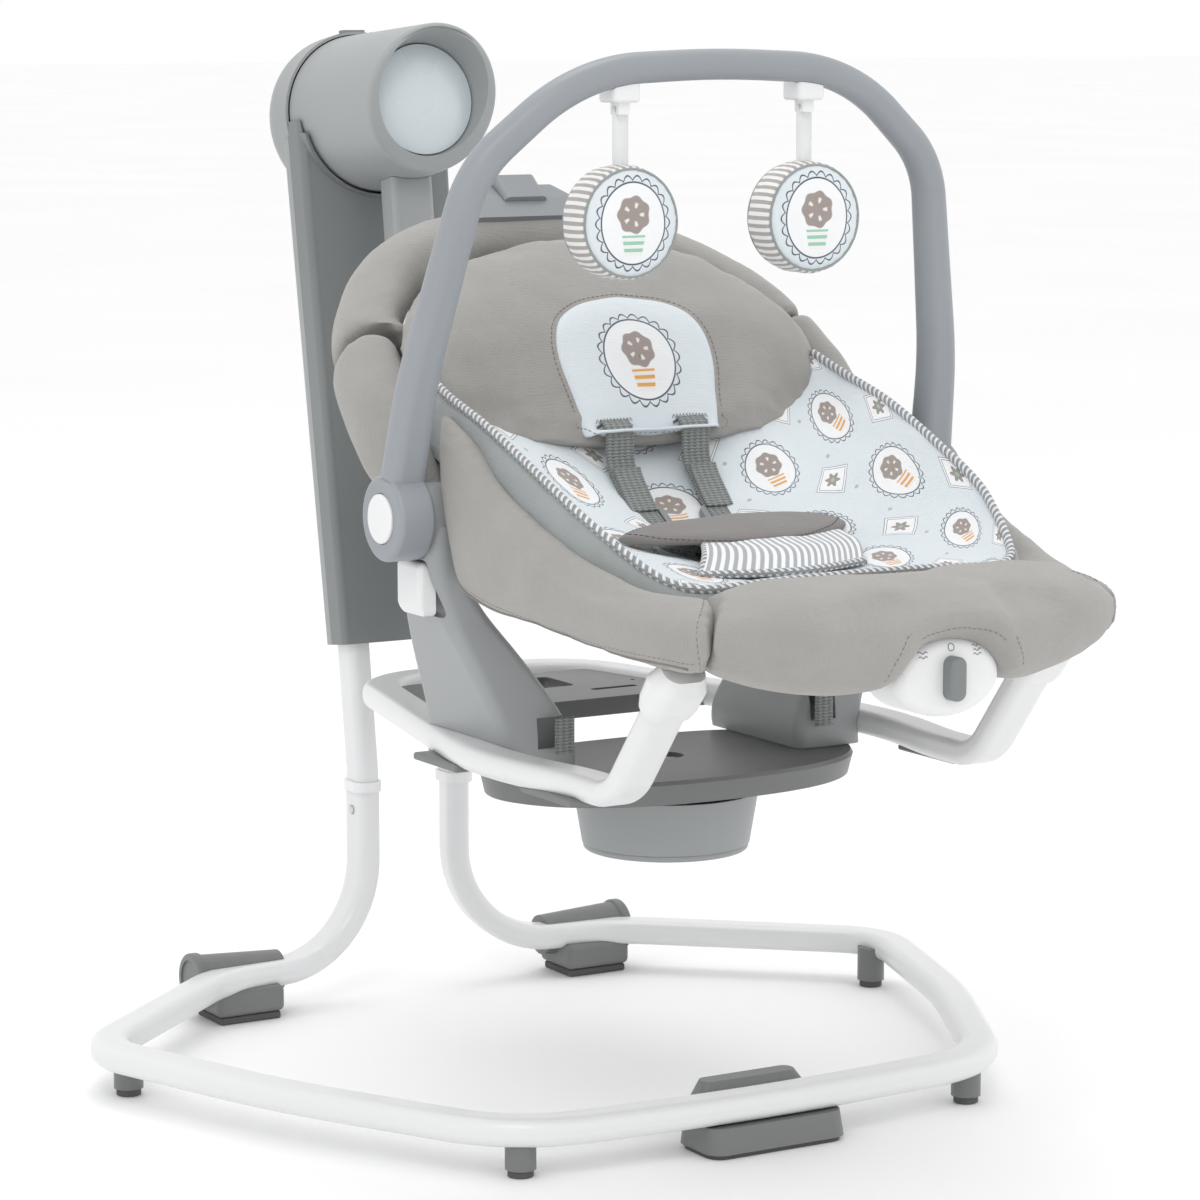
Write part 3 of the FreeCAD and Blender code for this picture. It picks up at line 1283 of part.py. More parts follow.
def tower_pieces():
    return {
        "tower_front_cover": tower_front_cover(),
        "tower_rear_cover": tower_rear_cover(),
        "tower_screws": tower_screws(),
        "power_jack": power_jack(),
        "shaft_bearings": shaft_bearings(),
        "drive_motor": drive_motor(),
        "motor_pinion": motor_pinion(),
        "control_board": control_board(),
        "power_button": power_button(),
        "speed_button": speed_button(),
    }


def arm_pieces():
    return {
        "head_barrel": head_barrel(),
        "head_disc": head_disc(),
        "swing_shaft": swing_shaft(),
        "drive_gear": drive_gear(),
        "arm_neck": arm_neck(),
        "arm_tube": arm_tube(),
        "hub_bowl": hub_bowl(),
        "hub_spindle": hub_spindle(),
        "turntable_tray": turntable_tray(),
    }


def rocker_pieces():
    pads = [rocker_pad(side, low, high) for side in (-1, 1) for low, high in ((-226, -150), (-60, 10))]
    pieces = {
        "rocker_frame": rocker_frame(),
        "rocker_pads": group(pads),
        "rear_cross_plate": rear_cross_plate(),
    }
    pieces["leg_caps"] = group(in_pair(leg_cap))
    pieces["side_brackets"] = group(in_pair(side_bracket))
    pieces.update(both_sides("release_latch", release_latch))
    return pieces


def arch_pieces():
    pieces = {
        "arch_tube": arch_tube(),
        "hub_covers": group(in_pair(hub_cover)),
        "toy_clips": group(in_pair(toy_clip)),
    }
    pieces.update(both_sides("toy", toy))
    return pieces


def seat_pieces():
    pieces = {
        "seat_tube": seat_tube(),
        "side_panels": group(in_pair(side_panel)),
        "foot_roll": foot_roll(),
        "seat_pad": seat_pad(),
        "inner_pad": inner_pad(),
        "harness_buckle": harness_buckle(),
        "buckle_button": buckle_button(),
        "harness_straps": group(in_pair(shoulder_strap) + in_pair(waist_strap) + [crotch_strap()]),
        "strap_adjusters": group(in_pair(strap_adjuster)),
        "crotch_pad": group([crotch_pad(), crotch_flap()]),
        "vibration_housing": vibration_housing(),
        "vibration_knob": vibration_knob(),
        "vibration_motor": vibration_motor(),
        "battery_door": battery_door(),
    }
    return pieces


def backrest_pieces():
    return {
        "back_tube": back_tube(),
        "back_cover": group([back_rim(), back_pad()]),
        "head_cushion": head_cushion(),
        "head_inset": head_inset(),
        "recline_housing": recline_housing(),
        "recline_lever": recline_lever(),
    }


def main():
    os.makedirs("parts", exist_ok=True)
    pieces = {}
    families = (stand_pieces, tower_pieces, arm_pieces, rocker_pieces, arch_pieces, seat_pieces, backrest_pieces)
    for family in families:
        pieces.update(family())
    for name, shape in pieces.items():
        shape.translate(V(0, -MIDDLE_Y, 0))
        shape.exportStep(os.path.join("parts", name + ".step"))
        print(name, len(shape.Solids), "solids", round(shape.Volume / 1000, 1), "cm3", shape.isValid())
    print(len(pieces), "nodes")


main()
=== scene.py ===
"""Looks of the baby swing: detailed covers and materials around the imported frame."""

import math

import bmesh
import bpy
from mathutils import Matrix, Vector, noise
from mathutils.bvhtree import BVHTree


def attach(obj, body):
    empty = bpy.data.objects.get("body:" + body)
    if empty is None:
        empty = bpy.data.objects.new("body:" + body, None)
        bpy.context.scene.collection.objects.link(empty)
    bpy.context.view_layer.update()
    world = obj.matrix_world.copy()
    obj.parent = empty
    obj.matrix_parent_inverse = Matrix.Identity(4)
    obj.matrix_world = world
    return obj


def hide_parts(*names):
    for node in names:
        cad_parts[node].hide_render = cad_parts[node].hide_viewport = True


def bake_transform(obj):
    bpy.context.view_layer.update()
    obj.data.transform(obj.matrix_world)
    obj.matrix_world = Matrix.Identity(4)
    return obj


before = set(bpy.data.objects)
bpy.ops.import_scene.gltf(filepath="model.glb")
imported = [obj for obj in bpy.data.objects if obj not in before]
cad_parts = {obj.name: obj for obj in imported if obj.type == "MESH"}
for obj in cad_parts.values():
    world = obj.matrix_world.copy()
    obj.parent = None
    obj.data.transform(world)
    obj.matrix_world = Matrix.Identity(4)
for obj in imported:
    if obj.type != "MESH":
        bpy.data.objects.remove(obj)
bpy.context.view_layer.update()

# ---------------------------------------------- places, in millimetres from the seat's datum
MM = 0.001
DATUM_Y = -26.0                # the seat's datum plane, in the frame
HUB = Vector((0.0, -70.0, 490.0))
BACK_SLOPE = math.radians(38.0)
ALONG = Vector((0.0, math.cos(BACK_SLOPE), math.sin(BACK_SLOPE)))
PROUD = Vector((0.0, -math.sin(BACK_SLOPE), math.cos(BACK_SLOPE)))
WEAVE = 0.0011                 # thread spacing of the cover cloth, metres


def place(x, y, z):
    """Datum millimetres to frame metres."""
    return Vector((x, y + DATUM_Y, z)) * MM


def back_place(x, along, proud):
    """Across, up the backrest and out of its plane, from the hubs' axis."""
    at = HUB + ALONG * along + PROUD * proud
    return place(x, at.y, at.z)


# ---------------------------------------------------------------- curves and meshes
def catmull(p0, p1, p2, p3, t):
    return 0.5 * ((2 * p1) + (p2 - p0) * t + (2 * p0 - 5 * p1 + 4 * p2 - p3) * t * t
                  + (3 * p1 - p0 - 3 * p2 + p3) * t * t * t)


def spline(points, count, closed=False):
    """Evenly stepped smooth curve through the points."""
    points = [Vector(p) for p in points]
    n = len(points)
    spans = n if closed else n - 1
    result = []
    for index in range(count):
        s = index * spans / (count if closed else count - 1)
        k = min(int(s), spans - 1)
        if closed:
            a, b, c, d = (points[(k + i) % n] for i in (-1, 0, 1, 2))
        else:
            b, c = points[k], points[k + 1]
            a = points[k - 1] if k else b * 2 - c
            d = points[k + 2] if k + 2 < n else c * 2 - b
        result.append(catmull(a, b, c, d, s - k))
    return result


def spaced(points, step):
    """Points a fixed distance apart along a polyline."""
    result, carry = [points[0].copy()], 0.0
    for a, b in zip(points, points[1:]):
        length = (b - a).length
        at = step - carry
        while at <= length:
            result.append(a.lerp(b, at / length))
            at += step
        carry = length - (at - step)
    return result


def net(rows, across, along):
    """Smooth surface through a net of control points."""
    dense = [spline(row, across) for row in rows]
    columns = [spline([row[i] for row in dense], along) for i in range(across)]
    return [[columns[i][j] for i in range(across)] for j in range(along)]


def mirror_points(points):
    return [Vector((-p.x, p.y, p.z)) for p in points]


def sided(points, side):
    """The points on the right side, 1, or their mirror on the left, -1."""
    return [Vector((side * p.x, p.y, p.z)) for p in points]


def build(name, verts, faces, smooth=True, uvs=None):
    """Mesh object; uvs is one pair for each vertex."""
    mesh = bpy.data.meshes.new(name)
    mesh.from_pydata([tuple(v) for v in verts], [], faces)
    mesh.validate()
    if uvs:
        layer = mesh.uv_layers.new(name="cloth")
        for loop in mesh.loops:
            layer.data[loop.index].uv = uvs[loop.vertex_index]
    piece = bpy.data.objects.new(name, mesh)
    bpy.context.collection.objects.link(piece)
    work = bmesh.new()
    work.from_mesh(mesh)
    bmesh.ops.recalc_face_normals(work, faces=work.faces)
    for face in work.faces:
        face.smooth = smooth
    work.to_mesh(mesh)
    work.free()
    return piece


def grid_faces(rows, columns, wrap=False, layers=1):
    """Faces of a net of points, row by row; wrap closes each row."""
    faces = []
    for layer in range(layers):
        base = layer * rows * columns
        for j in range(rows - 1):
            for i in range(columns if wrap else columns - 1):
                k = (i + 1) % columns
                a = base + j * columns
                b = a + columns
                faces.append((a + i, a + k, b + k, b + i))
    return faces


def tube_faces(rings, sides, cap=True):
    faces = grid_faces(rings, sides, wrap=True)
    if cap:
        faces.append(tuple(range(sides)))
        faces.append(tuple((rings - 1) * sides + i for i in range(sides)))
    return faces


def patch(name, surface, to_frame=place, uvs=None):
    """Mesh over a net of points, which to_frame turns into frame metres."""
    verts = [to_frame(*p) for row in surface for p in row]
    return build(name, verts, grid_faces(len(surface), len(surface[0])), uvs=uvs)


def skin(name, sections):
    """Solid through closed sections that all have the same number of points."""
    verts = [p for section in sections for p in section]
    return build(name, verts, tube_faces(len(sections), len(sections[0])))


def frames(path, up):
    """Side and up directions along a path."""
    result = []
    for index, at in enumerate(path):
        ahead = (path[min(index + 1, len(path) - 1)] - path[max(index - 1, 0)]).normalized()
        side = ahead.cross(up).normalized()
        result.append((at, side, side.cross(ahead).normalized()))
    return result


def round_tube(name, path, radius, sides=12, up=Vector((0.1, 0.3, 1.0))):
    verts, uvs, length = [], [], 0.0
    for index, (at, side, over) in enumerate(frames(path, up)):
        if index:
            length += (path[index] - path[index - 1]).length
        for i in range(sides):
            a = 2 * math.pi * i / sides
            verts.append(at + side * math.cos(a) * radius + over * math.sin(a) * radius)
            uvs.append((i / sides, length))
    return build(name, verts, tube_faces(len(path), sides), uvs=uvs)


def ribbon(name, path, across, wide, thick):
    """Flat webbing; across is the direction of its width."""
    verts, uvs, length = [], [], 0.0
    for index, at in enumerate(path):
        if index:
            length += (at - path[index - 1]).length
        ahead = (path[min(index + 1, len(path) - 1)] - path[max(index - 1, 0)]).normalized()
        over = across.cross(ahead).normalized()
        ring = [(-1, -0.6), (-0.96, -1), (0.96, -1), (1, -0.6), (1, 0.6), (0.96, 1), (-0.96, 1), (-1, 0.6)]
        for u, w in ring:
            verts.append(at + across * u * wide / 2 + over * w * thick / 2)
            uvs.append((u * wide / 2, length))
    return build(name, verts, tube_faces(len(path), 8), uvs=uvs)


def join(name, pieces):
    """One object out of several."""
    work = bmesh.new()
    for piece in pieces:
        work.from_mesh(piece.data)
    mesh = bpy.data.meshes.new(name)
    work.to_mesh(mesh)
    work.free()
    for piece in pieces:
        bpy.data.objects.remove(piece)
    joined = bpy.data.objects.new(name, mesh)
    bpy.context.collection.objects.link(joined)
    return joined


def mirrored_copy(piece, name):
    mesh = piece.data.copy()
    mesh.transform(Matrix.Scale(-1, 4, (1, 0, 0)))
    mesh.flip_normals()
    other = bpy.data.objects.new(name, mesh)
    bpy.context.collection.objects.link(other)
    return other


def tree_of(piece):
    mesh = piece.data
    points = [v.co.copy() for v in mesh.vertices]
    return BVHTree.FromPolygons(points, [tuple(p.vertices) for p in mesh.polygons])


def drop_onto(points, tree, direction, lift):
    """Moves points along direction onto a surface, then back out by lift."""
    result = []
    for point in points:
        hit = tree.ray_cast(point - direction * 0.12, direction, 0.3)[0]
        result.append(hit - direction * lift if hit else point)
    return result


def stitches(name, path, length=0.0032, gap=0.0014, radius=0.00042):
    """Row of thread stitches along a path."""
    verts, faces = [], []
    stops = spaced(path, length + gap)
    for a, b in zip(stops, stops[1:]):
        ahead = (b - a).normalized()
        side = ahead.cross(Vector((0.13, 0.21, 0.97))).normalized()
        over = side.cross(ahead)
        base = len(verts)
        rings = [(0.0, 0.35), (0.18, 1.0), (0.82, 1.0), (1.0, 0.35)]
        for t, scale in rings:
            for i in range(5):
                angle = 2 * math.pi * i / 5
                out = side * math.cos(angle) + over * math.sin(angle)
                verts.append(a + ahead * length * t + out * radius * scale)
        for face in tube_faces(4, 5):
            faces.append(tuple(base + i for i in face))
    return build(name, verts, faces)


def subdivide(piece, levels=1):
    modifier = piece.modifiers.new("smooth", "SUBSURF")
    modifier.levels = levels
    modifier.render_levels = levels
    apply_modifiers(piece)


def thicken(piece, thickness, offset=-1.0):
    """Gives a sheet its thickness."""
    modifier = piece.modifiers.new("thick", "SOLIDIFY")
    modifier.thickness = thickness
    modifier.offset = offset
    apply_modifiers(piece)


def weld(piece):
    """Joins points that meet and turns every face outward."""
    work = bmesh.new()
    work.from_mesh(piece.data)
    bmesh.ops.remove_doubles(work, verts=work.verts, dist=0.0001)
    bmesh.ops.recalc_face_normals(work, faces=work.faces)
    work.to_mesh(piece.data)
    work.free()


def apply_modifiers(piece):
    """Bakes the modifiers into the mesh."""
    bpy.context.view_layer.update()
    graph = bpy.context.evaluated_depsgraph_get()
    mesh = bpy.data.meshes.new_from_object(piece.evaluated_get(graph))
    old = piece.data
    piece.modifiers.clear()
    piece.data = mesh
    bpy.data.meshes.remove(old)
    for polygon in piece.data.polygons:
        polygon.use_smooth = True


SETTLE_FRAMES = 20             # length of each cloth simulation
CLOTH_VOXEL = 0.0055


def swell(piece, cap, pressure):
    """Cloth simulation: the cover fills out and creases, within cap metres."""
    remesh = piece.modifiers.new("remesh", "REMESH")
    remesh.mode = "VOXEL"
    remesh.voxel_size = CLOTH_VOXEL
    apply_modifiers(piece)
    start = [v.co.copy() for v in piece.data.vertices]
    cloth = piece.modifiers.new("cloth", "CLOTH")
    settings = cloth.settings
    settings.quality = 4
    settings.mass = 0.25
    settings.tension_stiffness = 12
    settings.compression_stiffness = 9
    settings.bending_stiffness = 0.35
    settings.use_pressure = True
    settings.uniform_pressure_force = pressure
    settings.effector_weights.gravity = 0
    cloth.point_cache.frame_start = 1
    cloth.point_cache.frame_end = SETTLE_FRAMES
    scene = bpy.context.scene
    for number in range(1, SETTLE_FRAMES + 1):
        scene.frame_set(number)
    apply_modifiers(piece)
    scene.frame_set(1)
    for vertex, before in zip(piece.data.vertices, start):
        offset = vertex.co - before
        if offset.length > cap:
            vertex.co = before + offset * (cap / offset.length)


def rumple(piece, size, depth, seed):
    """Soft hollows and folds of a stuffed cover."""
    shift = Vector((seed * 7.3, seed * 3.1, seed * 5.7))
    for vertex in piece.data.vertices:
        at = vertex.co / size + shift
        amount = noise.noise(at) + 0.45 * noise.noise(at * 2.3)
        vertex.co += vertex.normal * amount * depth


def pucker(piece, path, reach, depth, pitch):
    """Gathers the cover towards a seam."""
    marks = spaced(path, pitch / 4)
    for vertex in piece.data.vertices:
        nearest = min(range(len(marks)), key=lambda i: (marks[i] - vertex.co).length_squared)
        distance = (marks[nearest] - vertex.co).length
        if distance > reach * 3:
            continue
        fade = math.exp(-(distance / reach) ** 2)
        wave = 0.5 + 0.5 * math.sin(nearest * math.pi / 2 + math.sin(nearest * 0.37) * 1.5)
        near = math.exp(-(distance / (reach * 0.35)) ** 2)
        vertex.co -= vertex.normal * depth * (fade * wave * 0.6 + near)


# ---------------------------------------------------------------- materials
class Shader:
    """Small helper that wires nodes for one material."""

    def __init__(self, name):
        self.material = bpy.data.materials.new(name)
        self.material.use_nodes = True
        self.tree = self.material.node_tree
        self.surface = self.tree.nodes["Principled BSDF"]

    def node(self, kind, **values):
        made = self.tree.nodes.new(kind)
        for key, value in values.items():
            setattr(made, key, value)
        return made

    def link(self, source, target):
        self.tree.links.new(source, target)

    def math(self, operation, *inputs, clamp=False):
        made = self.node("ShaderNodeMath", operation=operation, use_clamp=clamp)
        for index, value in enumerate(inputs):
            if isinstance(value, (int, float)):
                made.inputs[index].default_value = value
            else:
                self.link(value, made.inputs[index])
        return made.outputs[0]

    def places(self):
        return self.node("ShaderNodeTexCoord").outputs["Object"]

    def uv(self):
        split = self.node("ShaderNodeSeparateXYZ")
        self.link(self.node("ShaderNodeTexCoord").outputs["UV"], split.inputs[0])
        return split.outputs[0], split.outputs[1]

    def noise(self, scale, detail=3.0, roughness=0.5):
        made = self.node("ShaderNodeTexNoise")
        made.inputs["Scale"].default_value = scale
        made.inputs["Detail"].default_value = detail
        made.inputs["Roughness"].default_value = roughness
        self.link(self.places(), made.inputs["Vector"])
        return made.outputs["Fac"]

    def ramp(self, factor, low, high):
        made = self.node("ShaderNodeValToRGB")
        for stop, at, color in zip(made.color_ramp.elements, (0.35, 0.65), (low, high)):
            stop.position = at
            stop.color = (*color, 1)
        self.link(factor, made.inputs[0])
        return made.outputs[0]

    def mix(self, factor, low, high):
        made = self.node("ShaderNodeMix", data_type="RGBA")
        for slot, value in ((0, factor), (6, low), (7, high)):
            if isinstance(value, (int, float)):
                made.inputs[slot].default_value = value
            elif isinstance(value, tuple):
                made.inputs[slot].default_value = (*value, 1)
            else:
                self.link(value, made.inputs[slot])
        return made.outputs[2]

    def inside(self, value, edge, gain):
        """1 where value is below the edge, with a soft rim."""
        return self.math("MULTIPLY", self.math("SUBTRACT", edge, value), gain, clamp=True)

    def off(self, value, middle):
        """How far value is from middle."""
        return self.math("ABSOLUTE", self.math("SUBTRACT", value, middle))

    def reach(self, x, y):
        """Distance from the middle of a drawing."""
        return self.math("SQRT", self.math("ADD", self.math("POWER", x, 2.0), self.math("POWER", y, 2.0)))

    def wave(self, value, turns):
        return self.math("SINE", self.math("MULTIPLY", value, turns))

    def creased(self, scale, detail, depth):
        """Height of thin cloth: threads and soft creases."""
        folds = self.math("MULTIPLY", self.noise(scale, detail), depth)
        return self.math("ADD", self.math("MULTIPLY", self.threads(WEAVE), 0.3), folds)

    def threads(self, spacing):
        """Woven height field on all three axes."""
        split = self.node("ShaderNodeSeparateXYZ")
        self.link(self.places(), split.inputs[0])
        waves = [self.wave(split.outputs[i], 2 * math.pi / spacing) for i in range(3)]
        total = self.math("ADD", self.math("ADD", waves[0], waves[1]), waves[2])
        return self.math("MULTIPLY", total, 0.33)

    def finish(self, color, roughness, height=None, strength=0.2, distance=0.0004, sheen=0.0, coat=0.0):
        self.link(color, self.surface.inputs["Base Color"])
        if isinstance(roughness, float):
            self.surface.inputs["Roughness"].default_value = roughness
        else:
            self.link(roughness, self.surface.inputs["Roughness"])
        self.surface.inputs["Sheen Weight"].default_value = sheen
        self.surface.inputs["Sheen Roughness"].default_value = 0.6
        self.surface.inputs["Coat Weight"].default_value = coat
        self.surface.inputs["Coat Roughness"].default_value = 0.12
        if height is not None:
            bump = self.node("ShaderNodeBump")
            bump.inputs["Strength"].default_value = strength
            bump.inputs["Distance"].default_value = distance
            self.link(height, bump.inputs["Height"])
            self.link(bump.outputs[0], self.surface.inputs["Normal"])
        return self.material


def shade(color, factor):
    return tuple(min(1.0, c * factor) for c in color)


def cloth_material(name, color, spacing=WEAVE, sheen=0.25, roughness=0.86):
    """Brushed woven cloth: threads, soft mottling and small creases."""
    s = Shader(name)
    mottled = s.ramp(s.noise(26, 4), shade(color, 0.93), shade(color, 1.06))
    threads = s.threads(spacing)
    tint = s.math("MULTIPLY_ADD", threads, 0.10, 0.5)
    color_out = s.mix(tint, shade(color, 0.90), mottled)
    creases = s.math("MULTIPLY", s.noise(38, 5, 0.6), 2.2)
    height = s.math("ADD", s.math("MULTIPLY", threads, 0.35), creases)
    rough = s.math("MULTIPLY_ADD", s.noise(180), 0.12, roughness - 0.06)
    return s.finish(color_out, rough, height, 0.55, 0.0010, sheen)


def plastic_material(name, color, roughness=0.42, grain=900.0, strength=0.10, coat=0.0):
    """Moulded plastic: fine spark grain, faint flow variation, slightly polished high spots."""
    s = Shader(name)
    tone = s.ramp(s.noise(5, 2), shade(color, 0.96), shade(color, 1.04))
    fine = s.noise(grain, 2)
    rough = s.math("MULTIPLY_ADD", s.noise(14, 3), 0.12, roughness - 0.06)
    return s.finish(tone, rough, fine, strength, 0.0003, coat=coat)


def enamel_material(name, color):
    """Powder-coated tube: even colour with a very fine orange peel."""
    s = Shader(name)
    tone = s.ramp(s.noise(2, 1), shade(color, 0.985), shade(color, 1.0))
    rough = s.math("MULTIPLY_ADD", s.noise(12, 1), 0.05, 0.30)
    return s.finish(tone, rough, s.noise(150, 1), 0.02, 0.0002, coat=0.3)


def steel_material(name, color, roughness=0.3):
    s = Shader(name)
    tone = s.ramp(s.noise(60, 3), shade(color, 0.9), shade(color, 1.05))
    rough = s.math("MULTIPLY_ADD", s.noise(300, 2), 0.18, roughness - 0.09)
    s.surface.inputs["Metallic"].default_value = 1.0
    return s.finish(tone, rough, s.noise(700, 2), 0.05, 0.0002)


def rope_material(name, light, dark):
    """Two-tone twisted piping."""
    s = Shader(name)
    u, v = s.uv()
    turn = s.math("ADD", s.math("MULTIPLY", u, 2.0), s.math("MULTIPLY", v, 1 / 0.0062))
    wave = s.wave(turn, math.pi * 2)
    mask = s.math("MULTIPLY_ADD", wave, 3.0, 0.5, clamp=True)
    return s.finish(s.mix(mask, dark, light), 0.8, wave, 0.9, 0.0012, 0.3)


def webbing_material(name, color):
    """Ribbed webbing: cross ribs with three lengthwise channels; the colour follows their height, as painted
    shade in the channels and grooves and painted highlight on the rib tops.
    """
    s = Shader(name)
    u, v = s.uv()
    channel = s.wave(u, 2 * math.pi / 0.0056)
    wobble = s.math("MULTIPLY", channel, 0.7)
    ribs = s.math("SINE", s.math("ADD", s.math("MULTIPLY", v, 2 * math.pi / 0.0026), wobble))
    height = s.math("ADD", ribs, s.math("MULTIPLY", channel, 0.8))
    # colour from height: painted shade low in the grooves, painted highlight on the raised ribs
    mask = s.math("MULTIPLY_ADD", height, 0.28, 0.5, clamp=True)
    return s.finish(s.mix(mask, shade(color, 0.6), shade(color, 1.25)), 0.75, height, 0.9, 0.0007, 0.15)


def stripe_material(name, light, dark, pitch):
    """Printed stripes."""
    s = Shader(name)
    wave = s.wave(s.uv()[0], 2 * math.pi / pitch)
    mask = s.math("MULTIPLY_ADD", wave, 5.0, 0.5, clamp=True)
    return s.finish(s.mix(mask, dark, light), 0.85, s.threads(WEAVE), 0.3, 0.0005, 0.2)


LINER = (0.70, 0.755, 0.79)
INK = (0.05, 0.06, 0.09)
SHRUB = (0.33, 0.28, 0.26)
PAPER = (0.86, 0.87, 0.88)


def band(s, value, low, high, soft):
    """1 where value is between low and high."""
    rise = s.math("MULTIPLY", s.math("SUBTRACT", value, low), 1 / soft, clamp=True)
    return s.math("MULTIPLY", rise, s.inside(value, high, 1 / soft))


def potted_shrub(s, color, x, y, accent):
    """A round shrub in a striped pot, drawn in a frame of half-width 1."""
    above = s.math("SUBTRACT", y, 0.18)
    far = s.reach(x, above)
    angle = s.math("ARCTAN2", x, above)
    edge = s.math("MULTIPLY_ADD", s.wave(angle, 7.0), 0.022, 0.40)
    color = s.mix(s.inside(far, edge, 40.0), color, SHRUB)
    dots = s.math("MULTIPLY", s.math("SUBTRACT", s.wave(angle, 5.0), 0.55), 6.0, clamp=True)
    blossom = s.inside(s.off(far, 0.2), 0.07, 30.0)
    color = s.mix(s.math("MULTIPLY", blossom, dots), color, (0.80, 0.76, 0.70))
    taper = s.math("MULTIPLY_ADD", y, 0.18, 0.34)
    across = band(s, s.math("ABSOLUTE", x), -1.0, taper, 0.02)
    pot = s.math("MULTIPLY", across, band(s, y, -0.68, -0.24, 0.02))
    rows = s.math("MULTIPLY_ADD", s.wave(y, 42.0), 3.0, 0.5, clamp=True)
    return s.mix(pot, color, s.mix(rows, (0.85, 0.83, 0.80), accent))


def scalloped_frame(s, color, x, y, accent, wide):
    """White oval with a scalloped ink border round the motif."""
    flat_x = s.math("MULTIPLY", x, 1 / wide)
    far = s.reach(flat_x, y)
    lobe = s.math("ABSOLUTE", s.wave(s.math("ARCTAN2", flat_x, y), 11.0))
    scallops = s.off(far, s.math("MULTIPLY_ADD", lobe, 0.10, 0.90))
    color = s.mix(s.inside(far, 0.86, 60.0), color, PAPER)
    color = potted_shrub(s, color, x, y, accent)
    for line in (scallops, s.off(far, 0.86)):
        color = s.mix(s.inside(line, 0.026, 60.0), color, INK)
    return color


def diamond_frame(s, color, x, y, accent):
    """Double diamond with a small bloom in it."""
    far = s.math("ADD", s.math("ABSOLUTE", x), s.math("ABSOLUTE", y))
    color = s.mix(s.inside(far, 0.80, 60.0), color, PAPER)
    for radius in (0.80, 0.68):
        color = s.mix(s.inside(s.off(far, radius), 0.022, 60.0), color, INK)
    round_far = s.reach(x, y)
    petals = s.math("MULTIPLY_ADD", s.wave(s.math("ARCTAN2", x, y), 6.0), 0.07, 0.27)
    color = s.mix(s.inside(round_far, petals, 40.0), color, SHRUB)
    return s.mix(s.inside(round_far, 0.10, 40.0), color, accent)


def repeat(s, value, pitch, shift):
    """Distance from the middle of the nearest cell."""
    cell = s.math("FRACT", s.math("MULTIPLY_ADD", value, 1 / pitch, shift))
    return s.math("MULTIPLY", s.math("SUBTRACT", cell, 0.5), pitch)


GRID_U = 0.088                 # pitch of the print across and along the liner, metres
GRID_V = 0.104


def liner_material(name):
    """Pale cloth printed with framed motifs on a loose grid."""
    s = Shader(name)
    u, v = s.uv()
    color = s.mix(s.noise(30, 3), shade(LINER, 0.97), shade(LINER, 1.02))
    oval_x = s.math("MULTIPLY", repeat(s, u, GRID_U, 0.5), 1 / 0.030)
    oval_y = s.math("MULTIPLY", repeat(s, v, GRID_V, 0.18), 1 / 0.034)
    most = s.math("MAXIMUM", s.math("ABSOLUTE", oval_x), s.math("ABSOLUTE", oval_y))
    drawn = scalloped_frame(s, color, oval_x, oval_y, (0.72, 0.36, 0.12), 0.86)
    color = s.mix(s.math("LESS_THAN", most, 1.15), color, drawn)
    box_x = s.math("MULTIPLY", repeat(s, u, GRID_U, 0.0), 1 / 0.024)
    box_y = s.math("MULTIPLY", repeat(s, v, GRID_V, 0.68), 1 / 0.026)
    total = s.math("ADD", s.math("ABSOLUTE", box_x), s.math("ABSOLUTE", box_y))
    drawn = diamond_frame(s, color, box_x, box_y, (0.30, 0.52, 0.38))
    color = s.mix(s.math("LESS_THAN", total, 0.95), color, drawn)
    dot = s.reach(repeat(s, u, GRID_U / 2, 0.25), repeat(s, v, GRID_V / 2, 0.35))
    color = s.mix(s.inside(dot, 0.0022, 2500.0), color, (0.42, 0.47, 0.50))
    return s.finish(color, 0.82, s.creased(34, 4, 2.0), 0.5, 0.0010, 0.2)


def framed_material(name, half, accent, wide):
    """One framed motif in the middle of the piece."""
    s = Shader(name)
    x, y = (s.math("MULTIPLY", along, 1 / half) for along in s.uv())
    color = s.mix(s.noise(30, 3), shade(LINER, 0.98), shade(LINER, 1.03))
    color = scalloped_frame(s, color, x, y, accent, wide)
    return s.finish(color, 0.82, s.creased(40, 4, 1.6), 0.5, 0.0009, 0.2)


